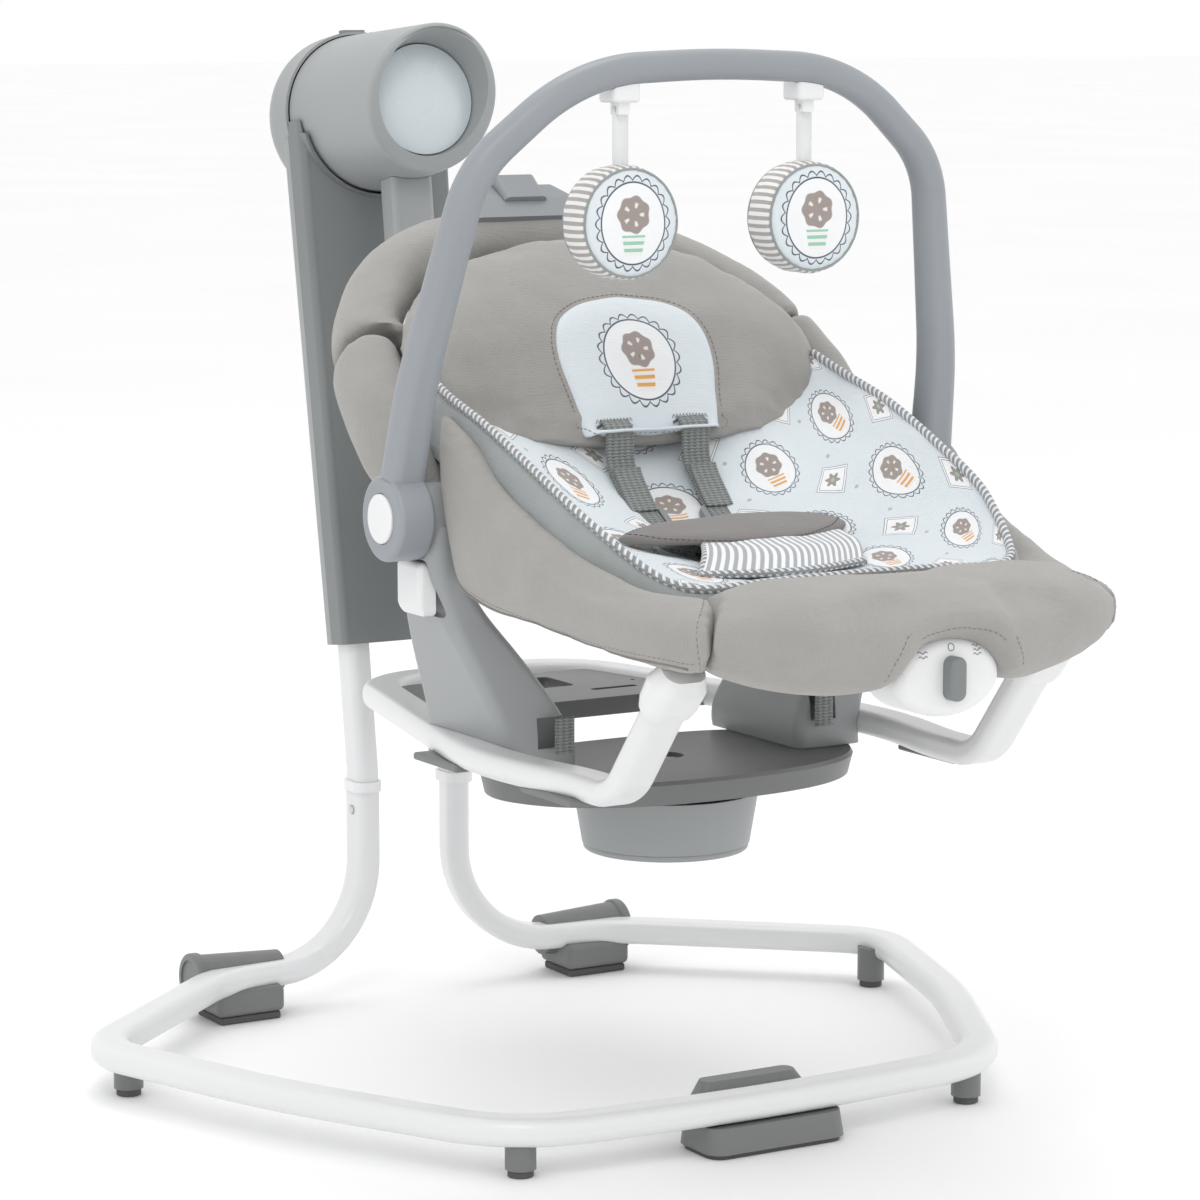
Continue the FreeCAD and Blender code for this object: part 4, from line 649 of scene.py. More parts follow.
COVER = (0.355, 0.342, 0.322)
MATERIALS = {
    "cover": cloth_material("cover_cloth", COVER),
    # cover cloth darkened as painted shade, for the shade under the seat and along the side seams
    "cover_painted_shade": cloth_material("cover_painted_shade_cloth", shade(COVER, 0.62)),
    "band": cloth_material("band_cloth", (0.30, 0.325, 0.325), sheen=0.35, roughness=0.7),
    "crotch": cloth_material("crotch_cloth", (0.20, 0.185, 0.178)),
    "binding": cloth_material("binding_tape", (0.10, 0.11, 0.12), 0.0008),
    "thread": cloth_material("cover_thread", shade(COVER, 0.58), 0.0005),
    "ink_thread": cloth_material("dark_thread", (0.05, 0.055, 0.07), 0.0005),
    "liner": liner_material("liner_print"),
    "inset": framed_material("inset_print", 0.037, (0.75, 0.38, 0.10), 1.0),
    "toy_print": framed_material("toy_print", 0.036, (0.30, 0.58, 0.46), 0.90),
    "rope": rope_material("piping_rope", (0.82, 0.83, 0.84), (0.27, 0.29, 0.31)),
    "white_strap": cloth_material("white_strap", (0.82, 0.83, 0.83), 0.0009),
    "webbing": webbing_material("webbing", (0.28, 0.305, 0.295)),
    "stripes": stripe_material("striped_cloth", (0.84, 0.85, 0.86), (0.38, 0.40, 0.42), 0.0068),
    "toy_stripes": stripe_material("toy_stripes", (0.84, 0.84, 0.84), (0.40, 0.37, 0.35), 0.0062),
    "white_tube": enamel_material("white_enamel", (0.76, 0.765, 0.77)),
    "arm_enamel": enamel_material("grey_enamel", (0.40, 0.41, 0.42)),
    "white_plastic": plastic_material("white_plastic", (0.78, 0.785, 0.79), 0.30, 500.0, 0.04, 0.2),
    "light_grey": plastic_material("light_grey_plastic", (0.335, 0.35, 0.355)),
    "mid_grey": plastic_material("mid_grey_plastic", (0.175, 0.182, 0.178)),
    "dark_grey": plastic_material("dark_grey_plastic", (0.20, 0.215, 0.215)),
    "rail_grey": plastic_material("rail_grey_plastic", (0.235, 0.25, 0.265), 0.38),
    "arch": plastic_material("arch_plastic", (0.285, 0.305, 0.33), 0.40),
    "disc": plastic_material("disc_plastic", (0.60, 0.665, 0.695), 0.28, 500.0, 0.03, 0.2),
    "rubber": plastic_material("sole_rubber", (0.09, 0.09, 0.09), 0.75, 300.0, 0.3),
    "nylon": plastic_material("nylon", (0.72, 0.70, 0.64), 0.45),
    "board": plastic_material("board_mask", (0.03, 0.15, 0.07), 0.35),
    "steel": steel_material("steel", (0.62, 0.62, 0.63)),
    "can": steel_material("motor_can", (0.45, 0.45, 0.47), 0.4),
}
CAD_MATERIALS = {
    "white_tube": ["base_loop", "uprights", "rocker_frame"],
    "arm_enamel": ["arm_tube"],
    "white_plastic": ["joint_rings", "release_latch_left", "release_latch_right", "vibration_housing",
                      "battery_door", "toy_clips", "hub_covers", "buckle_button", "leg_caps"],
    "light_grey": ["tower_rear_cover", "head_barrel", "side_brackets", "hub_bowl", "arm_neck"],
    "mid_grey": ["floor_feet", "front_plate", "turntable_tray", "rocker_pads", "rear_cross_plate"],
    "dark_grey": ["tower_front_cover", "vibration_knob", "harness_buckle"],
    "rail_grey": ["recline_housing", "recline_lever", "strap_adjusters", "power_button", "speed_button"],
    "arch": ["arch_tube"],
    "disc": ["head_disc"],
    "rubber": ["floor_soles", "power_jack"],
    "nylon": ["drive_gear", "motor_pinion"],
    "board": ["control_board"],
    "steel": ["swing_shaft", "hub_spindle", "tower_screws", "shaft_bearings", "snap_pin_left",
              "snap_pin_right", "back_tube", "seat_tube"],
    "can": ["drive_motor", "vibration_motor"],
}


def dress_cad():
    """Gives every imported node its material."""
    for key, nodes in CAD_MATERIALS.items():
        for node in nodes:
            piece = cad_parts[node]
            piece.data.materials.clear()
            piece.data.materials.append(MATERIALS[key])


def dress(piece, key, body):
    """Material and body of a new piece."""
    piece.data.materials.clear()
    piece.data.materials.append(MATERIALS[key])
    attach(piece, body)
    return piece


def dress_across(piece, key):
    """Like dress, for cloth that runs from the seat up past the recline hinge."""
    piece.data.materials.clear()
    piece.data.materials.append(MATERIALS[key])
    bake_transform(piece)
    return piece


# ---------------------------------------------------------------- seat bolster: side panels and foot roll
# Stations run from the front's middle to the rear of one side. Each lists the section's six points:
# inner top, crest, outer bulge, lower seam, under inner, inner.
FRONT_STATIONS = [
    [(0, -332, 450), (0, -388, 464), (0, -457, 455),
     (0, -452, 434), (0, -380, 427), (0, -335, 432)],
    [(20, -332, 450), (20, -388, 464), (20, -457, 454),
     (20, -452, 432), (20, -380, 426), (20, -335, 432)],
    [(32, -331, 450), (32, -388, 464), (33, -457, 451),
     (33, -452, 425), (32, -374, 422), (32, -335, 432)],
    [(41, -331, 450), (41, -388, 465), (42, -457, 447),
     (42, -452, 415), (41, -368, 416), (41, -335, 432)],
    [(48, -331, 450), (48, -388, 465), (50, -456, 443),
     (49, -450, 405), (48, -362, 409), (48, -334, 431)],
    [(58, -331, 450), (58, -388, 465), (61, -455, 440),
     (60, -442, 399), (58, -357, 402), (58, -333, 430)],
    [(82, -330, 450), (82, -388, 465), (87, -450, 438),
     (85, -431, 396), (82, -352, 398), (82, -331, 430)],
    [(114, -328, 450), (114, -386, 464), (124, -441, 440),
     (121, -424, 398), (114, -350, 398), (112, -328, 430)],
    [(140, -324, 446), (150, -372, 457), (177, -408, 441),
     (173, -403, 409), (150, -348, 401), (140, -322, 428)],
]
SIDE_STATIONS = [
    FRONT_STATIONS[-1],
    [(162, -290, 452), (180, -320, 464), (198, -338, 443),
     (191, -339, 411), (168, -312, 405), (158, -292, 430)],
    [(176, -250, 466), (195, -264, 479), (209, -268, 450),
     (199, -262, 414), (180, -250, 412), (170, -246, 440)],
    [(184, -200, 486), (202, -211, 498), (215, -206, 464),
     (205, -200, 422), (186, -190, 420), (176, -196, 455)],
    [(188, -145, 508), (204, -155, 521), (218, -150, 480),
     (210, -145, 428), (188, -128, 428), (180, -140, 475)],
    [(188, -95, 538), (204, -106, 548), (219, -112, 495),
     (212, -112, 437), (188, -100, 438), (180, -95, 500)],
    [(187, -40, 562), (201, -58, 566), (213, -84, 524),
     (208, -100, 446), (191, -97, 446), (183, -70, 502)],
]
SECTION_POINTS = 28
SEAM_PINCH = 0.955


def bolster_sections(stations, steps, pinch_first=True, pinch_last=False):
    rings = [[place(*p) for p in spline(station, SECTION_POINTS, closed=True)] for station in stations]
    columns = [spline([ring[i] for ring in rings], steps) for i in range(SECTION_POINTS)]
    sections = [[column[j] for column in columns] for j in range(steps)]
    for index, wanted in ((0, pinch_first), (-1, pinch_last)):
        if wanted:
            section = sections[index]
            middle = sum(section, Vector()) / len(section)
            sections[index] = [middle + (p - middle) * SEAM_PINCH for p in section]
    return sections


def side_panels():
    sections = bolster_sections(SIDE_STATIONS, 34, True, True)
    panel = skin("side_panel_right", sections)
    swell(panel, 0.005, 3.0)
    seam = spline([sections[j][SECTION_POINTS // 2 + 1] for j in range(len(sections))], 90)
    corner = spline(sections[0], 60, closed=True)
    pucker(panel, seam, 0.011, 0.0013, 0.013)
    pucker(panel, corner, 0.012, 0.0016, 0.012)
    rumple(panel, 0.055, 0.0016, 3)
    subdivide(panel)
    tree = tree_of(panel)
    outward = Vector((-1, 0, 0.15)).normalized()
    low = drop_onto([p + Vector((0, 0, 0.013)) for p in seam], tree, outward, -0.0001)
    rows = [stitches("side_stitches_right", low)]
    # Dark strip along the seam's ridge, in the shaded cover cloth: painted shadow of the seam crease.
    ridge = drop_onto([p + Vector((0, 0, 0.008)) for p in seam[3:-3]], tree, outward, 0.0)
    seam_shadow = round_tube("side_seam_shadow_right", ridge, 0.0013, 8)
    front = spline(sections[1], 80, closed=True)[10:52]
    rows.append(stitches("corner_stitches_right", [tree.find_nearest(p)[0] for p in front]))
    row = join("side_stitches_right", rows)
    for name, piece, key in (("side_panel", panel, "cover"), ("side_stitches", row, "thread"),
                             ("side_seam_shadow", seam_shadow, "cover_painted_shade")):
        other = mirrored_copy(piece, name + "_left")
        for one in (piece, other):
            dress(one, key, "seat")
            if key == "cover":
                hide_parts("side_panels")


NOTCH_HALF = [(0, 442), (32, 436), (46, 426), (54, 415), (60, 404)]


def foot_roll():
    right = bolster_sections(FRONT_STATIONS, 22, False, True)
    left = [mirror_points(section) for section in reversed(right)]
    roll = skin("foot_roll_cover", left[:-1] + right)
    swell(roll, 0.005, 3.0)
    for side in (1, -1):
        pucker(roll, sided(spline(right[-1], 60, closed=True), side), 0.012, 0.0016, 0.012)
    rumple(roll, 0.06, 0.0018, 5)
    subdivide(roll)
    dress(roll, "cover", "seat")
    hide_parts("foot_roll")
    right = [place(x, -448, z) for x, z in NOTCH_HALF]
    notch = mirror_points(right[:0:-1]) + right
    tree = tree_of(roll)
    line = [tree.find_nearest(p)[0] for p in spline(notch, 80)]
    dress(stitches("notch_stitches", line), "thread", "seat")


# ---------------------------------------------------------------- liner
# Rows run from the front edge to behind the head cushion: middle, half way out, edge.
LINER_ROWS = [
    [(0, -324, 457), (85, -323, 457), (140, -318, 457)],
    [(0, -300, 450), (95, -298, 452), (158, -298, 467)],
    [(0, -255, 448), (105, -258, 456), (172, -262, 487)],
    [(0, -205, 450), (112, -215, 466), (181, -222, 508)],
    [(0, -150, 452), (112, -160, 474), (184, -151, 538)],
    [(0, -108, 461), (112, -112, 490), (185, -96, 559)],
    [(0, -70, 481), (115, -70, 515), (184, -38, 576)],
    [(0, -30, 512), (115, -22, 548), (178, 8, 592)],
    [(0, 10, 545), (110, 20, 575), (165, 40, 612)],
]
RIM = [(0, -326, 459), (70, -325, 458), (124, -324, 456), (147, -314, 459), (160, -296, 468),
       (172, -262, 487), (181, -222, 508), (184, -151, 538), (185, -96, 559), (184, -40, 575), (180, 4, 590)]
LINER_SPAN = 0.46              # the print's width and length on the liner, metres
# lift and outward step of the band's rows, from the piping down
BAND_ROWS = [(0.000, 0.0015), (-0.004, 0.0055), (-0.012, 0.0085),
             (-0.023, 0.011), (-0.034, 0.0125), (-0.042, 0.016)]


def liner():
    rows = []
    for middle, half, edge in LINER_ROWS:
        near = Vector(middle).lerp(Vector(half), 0.55) + Vector((0, 0, -1.5))
        bulge = Vector(half).lerp(Vector(edge), 0.55) + Vector((5, -3, -5))
        right = [Vector(middle), near, Vector(half), bulge, Vector(edge)]
        rows.append(mirror_points(right[:0:-1]) + right)
    across, along = 81, 61
    uvs = [((i / (across - 1) - 0.5) * LINER_SPAN, j / (along - 1) * LINER_SPAN)
           for j in range(along) for i in range(across)]
    pad = patch("inner_liner", net(rows, across, along), uvs=uvs)
    if pad.data.polygons[len(pad.data.polygons) // 2].normal.z < 0:
        pad.data.flip_normals()
    rumple(pad, 0.045, 0.0022, 8)
    for side in (-1, 1):
        line = [place(60, -112, 466), place(112, -118, 482), place(150, -135, 512)]
        pucker(pad, sided(spline(line, 30), side), 0.008, 0.0028, 0.02)
    thicken(pad, 0.0036)
    subdivide(pad)
    dress_across(pad, "liner")
    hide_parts("inner_pad")


def piping():
    half = spline([place(*p) for p in RIM], 160)
    whole = mirror_points(half[:0:-1]) + half
    rope = round_tube("liner_piping", [p + Vector((0, 0, 0.0015)) for p in whole], 0.0034, 12)
    dress_across(rope, "rope")
    strip = []
    for lift, out in BAND_ROWS:
        row = []
        for p in half:
            away = Vector((p.x, p.y - place(0, -180, 0).y, 0)).normalized()
            row.append(p + away * out + Vector((0, 0, lift)))
        strip.append(mirror_points(row[:0:-1]) + row)
    verts = [p for row in strip for p in row]
    strip_piece = build("liner_band", verts, grid_faces(len(strip), len(strip[0])))
    thicken(strip_piece, 0.0022)
    rumple(strip_piece, 0.03, 0.0012, 9)
    dress_across(strip_piece, "band")


# how far back, half width and height of the sling's rows
SLING_ROWS = [(-345, 140, 412), (-250, 168, 416), (-150, 182, 420), (-80, 184, 428), (-48, 180, 440)]


def seat_base():
    """Sling under the liner, seen from below; its darker cloth is painted shade under the seat."""
    rows = []
    for y, half, low in SLING_ROWS:
        lifts = ((-1, 20), (-0.6, 0), (0, -4), (0.6, 0), (1, 20))
        rows.append([(half * share, y, low + lift) for share, lift in lifts])
    pad = patch("seat_sling", net(rows, 33, 25))
    thicken(pad, 0.007)
    rumple(pad, 0.05, 0.0015, 12)
    subdivide(pad)
    # darker cloth as painted shade under the seat
    dress(pad, "cover_painted_shade", "seat")
    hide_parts("seat_pad")


# ---------------------------------------------------------------- backrest
# Roll round the backrest: across, along, proud of its middle, then half width and half depth.
RIM_STATIONS = [(186, -22, -16, 11, 18), (203, 60, -14, 20, 34), (205, 118, -10, 25, 38),
                (195, 180, -7, 27, 36), (172, 228, -4, 28, 33), (132, 272, -2, 28, 30),
                (76, 299, 0, 28, 28), (0, 309, 0, 28, 28)]
RIM_SEAM = 3                   # station of the cross seam


def rim_section(at, out, wide, deep):
    """Egg-shaped section of the roll."""
    points = []
    for k in range(SECTION_POINTS):
        angle = 2 * math.pi * k / SECTION_POINTS
        offset = out * math.cos(angle) * wide + PROUD * math.sin(angle) * deep
        points.append(at + offset * MM)
    return points


def rim_rings(stations, steps):
    middles = spline([back_place(x, a, p) for x, a, p, _, _ in stations], steps)
    sizes = spline([(w, d, 0) for _, _, _, w, d in stations], steps)
    rings = []
    for index, middle in enumerate(middles):
        ahead = (middles[min(index + 1, steps - 1)] - middles[max(index - 1, 0)]).normalized()
        if middle.x < 0.003 and index == steps - 1:
            ahead = Vector((-1, 0, 0))
        out = ahead.cross(PROUD).normalized()
        rings.append(rim_section(middle, out, sizes[index].x, sizes[index].y))
    return rings


def pinched(ring):
    middle = sum(ring, Vector()) / len(ring)
    return [middle + (p - middle) * 0.93 for p in ring]


def back_rim():
    rings = rim_rings(RIM_STATIONS, 71)
    cut = round(70 * RIM_SEAM / (len(RIM_STATIONS) - 1))
    lower = rings[:cut] + [pinched(rings[cut])]
    wing = skin("back_wing_right", lower)
    swell(wing, 0.004, 3.0)
    pucker(wing, spline(rings[cut], 60, closed=True), 0.012, 0.0018, 0.012)
    rumple(wing, 0.05, 0.0016, 15)
    subdivide(wing)
    other = mirrored_copy(wing, "back_wing_left")
    upper = [pinched(rings[cut])] + rings[cut + 1:]
    left = [mirror_points(ring) for ring in reversed(upper)]
    crown = skin("back_crown", reorder(left[:-1], upper[-1]) + upper)
    swell(crown, 0.004, 3.0)
    for side in (1, -1):
        pucker(crown, sided(spline(rings[cut], 60, closed=True), side), 0.012, 0.0018, 0.012)
    rumple(crown, 0.06, 0.0018, 17)
    subdivide(crown)
    for piece in (wing, other, crown):
        dress(piece, "cover", "backrest")
        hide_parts("back_cover")


def reorder(rings, target):
    """Turns mirrored rings so their points meet the next ring's points."""
    count = len(target)
    last = rings[-1]
    best = None
    for flip in (False, True):
        for shift in range(count):
            order = [(shift - i if flip else shift + i) % count for i in range(count)]
            cost = sum((last[order[i]] - target[i]).length for i in range(count))
            if best is None or cost < best[0]:
                best = (cost, order)
    return [[ring[i] for i in best[1]] for ring in rings]


def back_sling():
    """Cover behind the backrest, between the rolls."""
    rows = []
    for along, half in ((-8, 176), (60, 186), (130, 190), (200, 176), (255, 140), (292, 84)):
        bow = -22 if along < 250 else -14
        heights = ((-1, -14), (-0.55, bow), (0, bow - 4), (0.55, bow), (1, -14))
        rows.append([(half * share, along, height) for share, height in heights])
    sling = patch("back_sling", net(rows, 37, 33), back_place)
    thicken(sling, 0.009, 0.0)
    rumple(sling, 0.06, 0.002, 21)
    subdivide(sling)
    dress(sling, "cover", "backrest")


# ---------------------------------------------------------------- head cushion and inset
HEAD_OUTLINE = [(0, 46, 12), (58, 44, 14), (102, 49, 16), (142, 58, 18), (180, 80, 22), (197, 120, 26),
                (188, 174, 30), (140, 229, 34), (70, 258, 38), (0, 267, 40)]
HEAD_MIDDLE = (0.0, 160.0)


def head_height(x, along):
    """How proud the middle of the cushion's top is."""
    rise = min(1.0, max(0.0, (along - 40) / 115))
    rise = rise * rise * (3 - 2 * rise)
    return 22 + 36 * rise - 10 * (x / 190) ** 2


def head_cushion():
    half = spline(HEAD_OUTLINE, 40)
    outline = half + [Vector((-p.x, p.y, p.z)) for p in half[-2:0:-1]]
    rings, count = 14, len(outline)
    verts = []
    for top in (True, False):
        for r in range(rings + 1):
            t = r / rings
            swell_at = math.sqrt(max(0.0, 1 - t ** 5))
            for p in outline:
                x = p.x * t
                along = HEAD_MIDDLE[1] + (p.y - HEAD_MIDDLE[1]) * t
                height = head_height(x, along) if top else p.z - 22
                verts.append(back_place(x, along, p.z + (height - p.z) * swell_at))
    cushion = build("head_cushion_cover", verts, grid_faces(rings + 1, count, wrap=True, layers=2))
    weld(cushion)
    swell(cushion, 0.006, 3.5)
    rim = [back_place(*p) for p in outline]
    pucker(cushion, rim + rim[:1], 0.013, 0.0013, 0.015)
    rumple(cushion, 0.06, 0.0020, 25)
    subdivide(cushion)
    dress(cushion, "cover", "backrest")
    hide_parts("head_cushion")
    return cushion


STRAP_X = 35.0                 # shoulder straps from the middle
INSET_HALF = [(0, 46), (30, 47), (60, 49), (66, 78), (72, 104), (70, 128), (58, 148), (34, 161), (0, 166)]


def head_inset(cushion):
    """Arched printed patch on the head cushion."""
    half = spline([(x, y, 0) for x, y in INSET_HALF], 26)
    outline = half + [Vector((-p.x, p.y, 0)) for p in half[-2:0:-1]]
    tree = tree_of(cushion)
    middle = Vector((0, 106, 0))
    rings, count = 16, len(outline)
    points, uvs, lifts = [], [], []
    for r in range(rings + 1):
        t = r / rings
        for p in outline:
            at = middle.lerp(p, t)
            points.append(back_place(at.x, at.y, 30))
            uvs.append((at.x * MM, (at.y - middle.y) * MM))
            lifts.append(0.0006 + 0.0030 * math.sqrt(max(0.0, 1 - t ** 6)))
    onto = drop_onto(points, tree, -PROUD, 0.0)
    verts = [p + PROUD * lift for p, lift in zip(onto, lifts)]
    inset = build("head_inset_print", verts, grid_faces(rings + 1, count, wrap=True), uvs=uvs)
    if inset.data.polygons[-1].normal.dot(PROUD) < 0:
        inset.data.flip_normals()
    thicken(inset, 0.003)
    pucker(inset, verts[rings * count:], 0.006, 0.0007, 0.011)
    subdivide(inset)
    dress(inset, "inset", "backrest")
    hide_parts("head_inset")
    wider = [middle.lerp(p, 1.035) for p in outline]
    ring = [back_place(p.x, p.y, 30) for p in wider]
    around = drop_onto(ring + ring[:1], tree, -PROUD, 0.0002)
    dress(stitches("inset_stitches", around), "thread", "backrest")
    strap_slots(tree_of(inset))


def strap_slots(tree):
    """Bound slots in the inset, where the shoulder straps come through."""
    for side in (-1, 1):
        slot_line = [back_place(side * STRAP_X + dx, 60 + 0.8 * math.cos(dx * 0.6), 30)
                     for dx in range(-16, 17)]
        on = drop_onto(slot_line, tree, -PROUD, 0.0)
        slot = round_tube(f"strap_slot_{side + 1}", on, 0.0012, 8, PROUD)
        dress(slot, "binding", "backrest")
        zigzag = [back_place(side * STRAP_X + i * 1.5 - 16.5, 62.5 + (1.1 if i % 2 else -1.1), 30)
                  for i in range(23)]
        on = drop_onto(zigzag, tree, -PROUD, 0.0002)
        thread = round_tube(f"slot_zigzag_{side + 1}", on, 0.00030, 5, PROUD)
        dress(thread, "ink_thread", "backrest")


# ---------------------------------------------------------------- harness
def harness():
    pieces = []
    for side in (-1, 1):
        x = side * STRAP_X
        start = [back_place(x, 68, 25), back_place(x, 60, 28), back_place(x, 51, 26.5)]
        route = [(x, -48, 518), (x, -60, 503.5), (x, -75, 487.5), (x, -92, 475.9), (x, -109, 465.5),
                 (x, -139, 463), (x, -160, 462)]
        path = spline(start + [place(*p) for p in route], 70)
        pieces.append(ribbon(f"shoulder_{side}", path, Vector((1, 0, 0)), 0.0252, 0.0018))
        loose = [(x, -84, 483.5), (x + 1, -70, 496), (x + 1, -60, 507), (x + 2, -54, 514)]
        path = spline([place(*p) for p in loose], 30)
        pieces.append(ribbon(f"tail_{side}", path, Vector((1, 0, 0)), 0.0246, 0.0016))
        waist = [(30, -152, 463), (60, -140, 464), (95, -124, 474), (118, -112, 487)]
        path = spline([place(side * x, y, z) for x, y, z in waist], 30)
        pieces.append(ribbon(f"waist_{side}", path, Vector((0, 0.9, 0.3)).normalized(), 0.022, 0.0018))
    straps = join("harness_webbing", pieces)
    dress_across(straps, "webbing")
    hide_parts("harness_straps")


def crotch_pad():
    """Lens-shaped pad over the buckle."""
    left, right = (-104, -158, 473), (104, -160, 473)
    upper = [left, (-70, -142, 478), (-20, -131, 481), (40, -132, 482), (80, -143, 479), right]
    lower = [left, (-80, -182, 472), (-30, -204, 472), (30, -206, 472), (78, -186, 473), right]
    rows, columns = 9, 33
    top, low = spline(upper, columns), spline(lower, columns)
    verts = []
    for face_side in (1, -1):
        for j in range(rows):
            t = j / (rows - 1)
            for i, (a, b) in enumerate(zip(top, low)):
                at = a.lerp(b, t)
                edge = max(0.0, 1 - abs(2 * t - 1) ** 4) * max(0.0, 1 - abs(2 * i / (columns - 1) - 1) ** 6)
                verts.append(place(at.x, at.y, at.z + 5.0 * math.sqrt(edge) * face_side))
    pad = build("crotch_cover", verts, grid_faces(rows, columns, layers=2))
    weld(pad)
    rumple(pad, 0.03, 0.0010, 31)
    subdivide(pad)
    dress(pad, "crotch", "seat")
    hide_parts("crotch_pad")
    middle = place(0, -168, 478)
    loop = [place(*p) for p in top + low[::-1]]
    inner = [middle + (p - middle) * 0.93 for p in loop]
    around = drop_onto(inner, tree_of(pad), Vector((0, 0, -1)), 0.0002)
    dress(stitches("crotch_stitches", around), "ink_thread", "seat")


def crotch_flap():
    """Striped flap below the crotch pad, with piping on two edges."""
    back_edge = [(-48, -192, 470), (10, -196, 471), (84, -180, 471)]
    front_edge = [(-84, -244, 455), (-10, -262, 455), (62, -246, 456)]
    middle_edge = [(-66, -222, 466), (4, -236, 467), (76, -218, 466)]
    surface = net([spline(back_edge, 9), spline(middle_edge, 9), spline(front_edge, 9)], 41, 15)
    uvs = [(i / 40 * 0.15, j / 14 * 0.06) for j in range(15) for i in range(41)]
    flap = patch("crotch_flap", surface, uvs=uvs)
    thicken(flap, 0.005, 0.0)
    rumple(flap, 0.025, 0.0012, 33)
    subdivide(flap)
    dress(flap, "stripes", "seat")
    edge = spline([place(x, y, z + 0.5) for x, y, z in front_edge], 60)
    left_edge = spline([place(-48, -192, 470), place(-66, -222, 466), place(-84, -244, 455)], 30)
    ropes = [round_tube("tape_a", edge, 0.0030, 10), round_tube("tape_b", left_edge, 0.0026, 10)]
    tape = join("flap_binding", ropes)
    dress(tape, "rope", "seat")


# ---------------------------------------------------------------- toys
TOY_R = 43.0
TOY_X = 83.0
TOY_Y = -127.0
TOY_Z = 711.0


def turned_profile(name, profile, sides, uv_scale):
    """Solid of revolution about Y; profile is radius and depth."""
    verts, uvs = [], []
    for radius, depth in profile:
        for i in range(sides):
            a = 2 * math.pi * i / sides
            verts.append(Vector((radius * math.cos(a), depth, radius * math.sin(a))) * MM)
            uvs.append((i / sides * uv_scale, depth * MM))
    return build(name, verts, tube_faces(len(profile), sides, cap=False), uvs=uvs)


def toy(side, node):
    """Round toy on its strap; the node and the body have the same name."""
    at = place(side * TOY_X, TOY_Y, TOY_Z)
    front = [(39.5, -15.5), (42.2, -13.5), (43.2, -8), (43.6, 0)]
    rear = [(radius, -depth) for radius, depth in front[-2::-1]]
    smooth = [(p.x, p.y) for p in spline([(r, d, 0) for r, d in front + rear], 25)]
    around = turned_profile(f"{node}_band", smooth, 96, 2 * math.pi * TOY_R * MM)
    around.data.transform(Matrix.Translation(at))
    rumple(around, 0.012, 0.0007, 41 + side)
    dress(around, "toy_stripes", node)
    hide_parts(node)
    for facing in (-1, 1):
        rings, sides = 18, 72
        verts, uvs = [], []
        for r in range(rings + 1):
            t = r / rings
            for i in range(sides):
                a = 2 * math.pi * i / sides
                radius = 40.3 * t
                crown = 15.2 + 4.6 * math.sqrt(max(0.0, 1 - t ** 3))
                dip = 0.35 * math.sin(a * 26) * t ** 10
                x, z = radius * math.cos(a), radius * math.sin(a)
                verts.append(at + Vector((x, facing * (crown + dip), z)) * MM)
                uvs.append((x * MM * -facing, z * MM))
        faces = grid_faces(rings + 1, sides, wrap=True)
        name = f"{node}_{'face' if facing < 0 else 'rear'}"
        disc = build(name, verts, faces, uvs=uvs)
        rumple(disc, 0.02, 0.0005, 45 + side)
        dress(disc, "toy_print" if facing < 0 else "liner", node)
        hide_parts(node)
        turns = [2 * math.pi * i / 90 for i in range(91)]
        ring = [at + Vector((40.6 * math.cos(a), facing * 15.7, 40.6 * math.sin(a))) * MM for a in turns]
        seam = round_tube(f"{name}_seam", ring, 0.0010, 8, Vector((0, 1, 0.01)))
        dress(seam, "band", node)
    hang = [place(side * TOY_X, TOY_Y, z) for z in (798, 780, 765, 752.5)]
    tape = ribbon(f"{node}_strap", spline(hang, 16), Vector((1, 0, 0)), 0.0136, 0.0016)
    dress(tape, "white_strap", node)


# ---------------------------------------------------------------- small marks and trims
def control_marks():
    """Plain marks over the vibration knob: wave, ring, two waves."""
    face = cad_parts["vibration_housing"]
    tree = tree_of(face)
    lines = []
    for x, z in ((-24, 419.5), (-24, 416.3), (23, 421.5), (23, 418.5), (23, 415.5)):
        lines.append([place(x - 3.6 + i * 0.3, -470, z + 0.7 * math.sin(i * math.pi / 8))
                      for i in range(25)])
    lines.append([place(2.6 * math.cos(a * math.pi / 10), -470, 422 + 2.6 * math.sin(a * math.pi / 10))
                  for a in range(21)])
    marks = []
    for index, line in enumerate(lines):
        on = drop_onto(line, tree, Vector((0, 1, 0)), 0.0)
        marks.append(round_tube(f"mark_{index}", on, 0.00038, 6, Vector((0, 1, 0.1))))
    dress(join("control_marks", marks), "dark_grey", "seat")


def bracket_webbing():
    """Short webbing loop that shows in each bracket's slot."""
    for side in (-1, 1):
        path = spline([place(side * 120, -106, z) for z in (303, 309, 317, 325, 331)], 20)
        tape = ribbon(f"bracket_webbing_{side + 1}", path, Vector((1, 0, 0)), 0.017, 0.0016)
        dress(tape, "webbing", "seat")


# ---------------------------------------------------------------- room, light and camera
AZIMUTH = math.radians(-30.7033)
ELEVATION = math.radians(8.264)
DISTANCE = 3.5661
AIM = Vector((0.1349, 0.2439, 0.3565))
LENS = 121.61


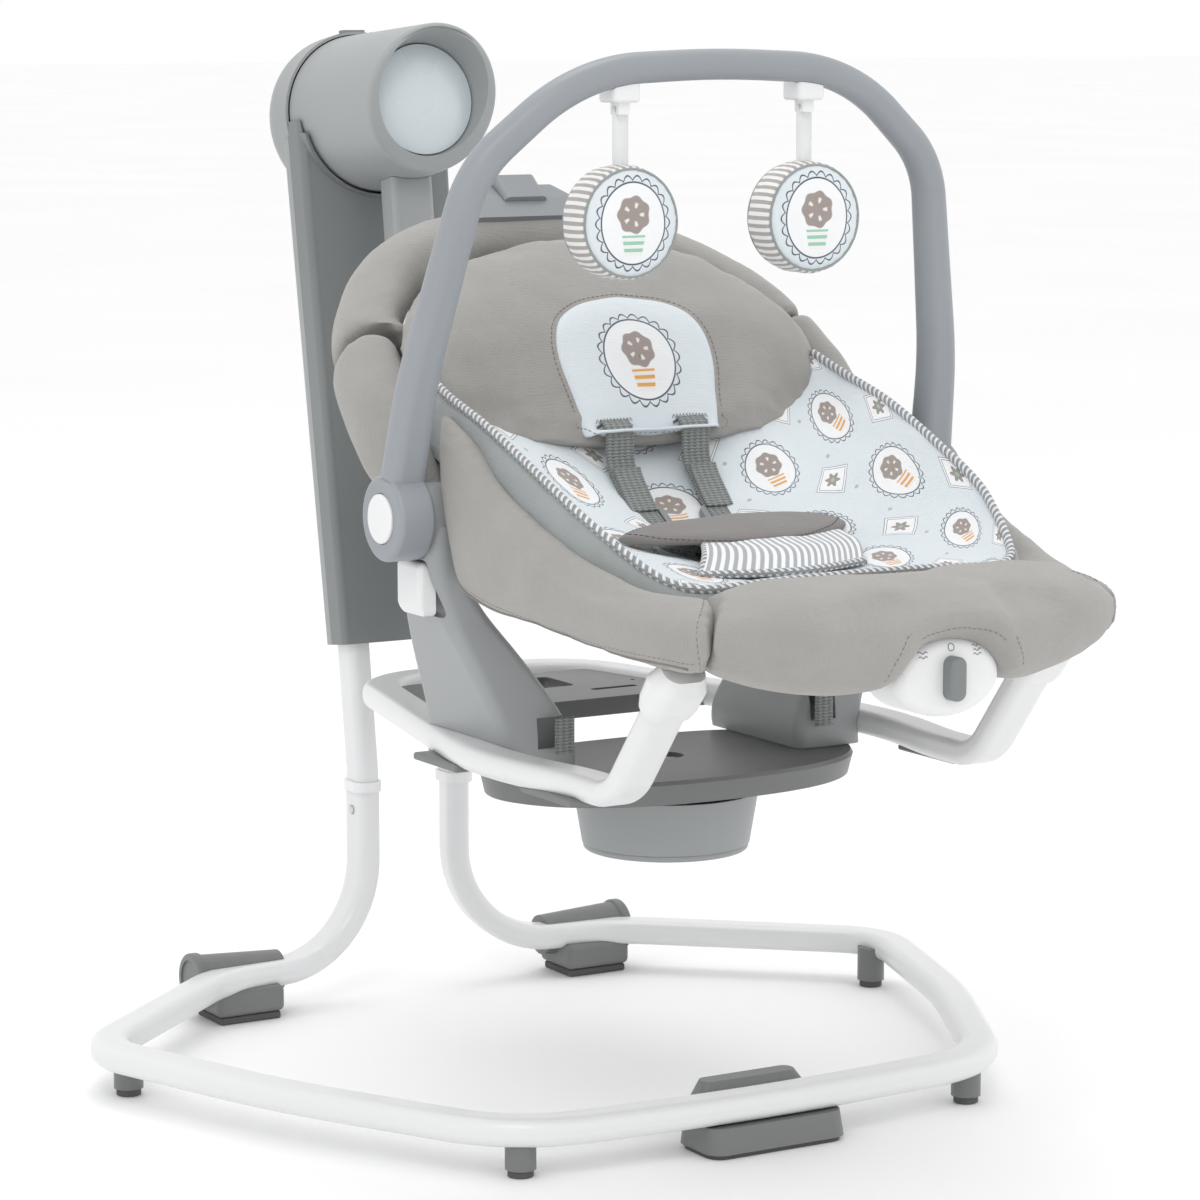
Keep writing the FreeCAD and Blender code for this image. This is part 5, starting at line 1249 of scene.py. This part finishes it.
def camera():
    toward = Vector((math.sin(AZIMUTH) * math.cos(ELEVATION), -math.cos(AZIMUTH) * math.cos(ELEVATION),
                     math.sin(ELEVATION)))
    data = bpy.data.cameras.new("camera")
    data.lens = LENS
    data.sensor_width = 36.0
    data.clip_end = 200.0
    item = bpy.data.objects.new("camera", data)
    item.location = AIM + toward * DISTANCE
    item.rotation_euler = (-toward).to_track_quat("-Z", "Y").to_euler()
    bpy.context.collection.objects.link(item)
    bpy.context.scene.camera = item


def light(name, at, aim, size, power):
    data = bpy.data.lights.new(name, "AREA")
    data.shape = "DISK"
    data.size = size
    data.energy = power
    item = bpy.data.objects.new(name, data)
    item.location = at
    item.rotation_euler = (Vector(aim) - Vector(at)).to_track_quat("-Z", "Y").to_euler()
    bpy.context.collection.objects.link(item)


def floor():
    size = 60.0
    plane = build("studio_floor", [(-size, -size, 0), (size, -size, 0), (size, size, 0), (-size, size, 0)],
                  [(0, 1, 2, 3)], smooth=False)
    s = Shader("studio_floor")
    tone = s.ramp(s.noise(0.8, 2), (0.965, 0.965, 0.965), (0.985, 0.985, 0.985))
    plane.data.materials.append(s.finish(tone, 0.75))


def studio():
    floor()
    world = bpy.data.worlds.new("studio")
    world.use_nodes = True
    background = world.node_tree.nodes["Background"]
    background.inputs[0].default_value = (1.0, 1.0, 1.0, 1)
    background.inputs[1].default_value = 1.0
    bpy.context.scene.world = world
    light("key", (-1.9, -2.3, 3.2), (0, 0, 0.4), 1.6, 24)
    light("fill", (2.8, -1.6, 1.6), (0, 0, 0.4), 2.2, 7)
    light("top", (0.3, 1.0, 3.4), (0, 0, 0.5), 1.8, 16)
    bpy.context.scene.view_settings.view_transform = "Standard"
    bpy.context.scene.view_settings.exposure = 0.0
    camera()


# ---------------------------------------------------------------- main
def main():
    dress_cad()
    side_panels()
    foot_roll()
    liner()
    piping()
    seat_base()
    back_rim()
    back_sling()
    head_inset(head_cushion())
    harness()
    crotch_pad()
    crotch_flap()
    toy(-1, "toy_left")
    toy(1, "toy_right")
    control_marks()
    bracket_webbing()
    studio()


main()
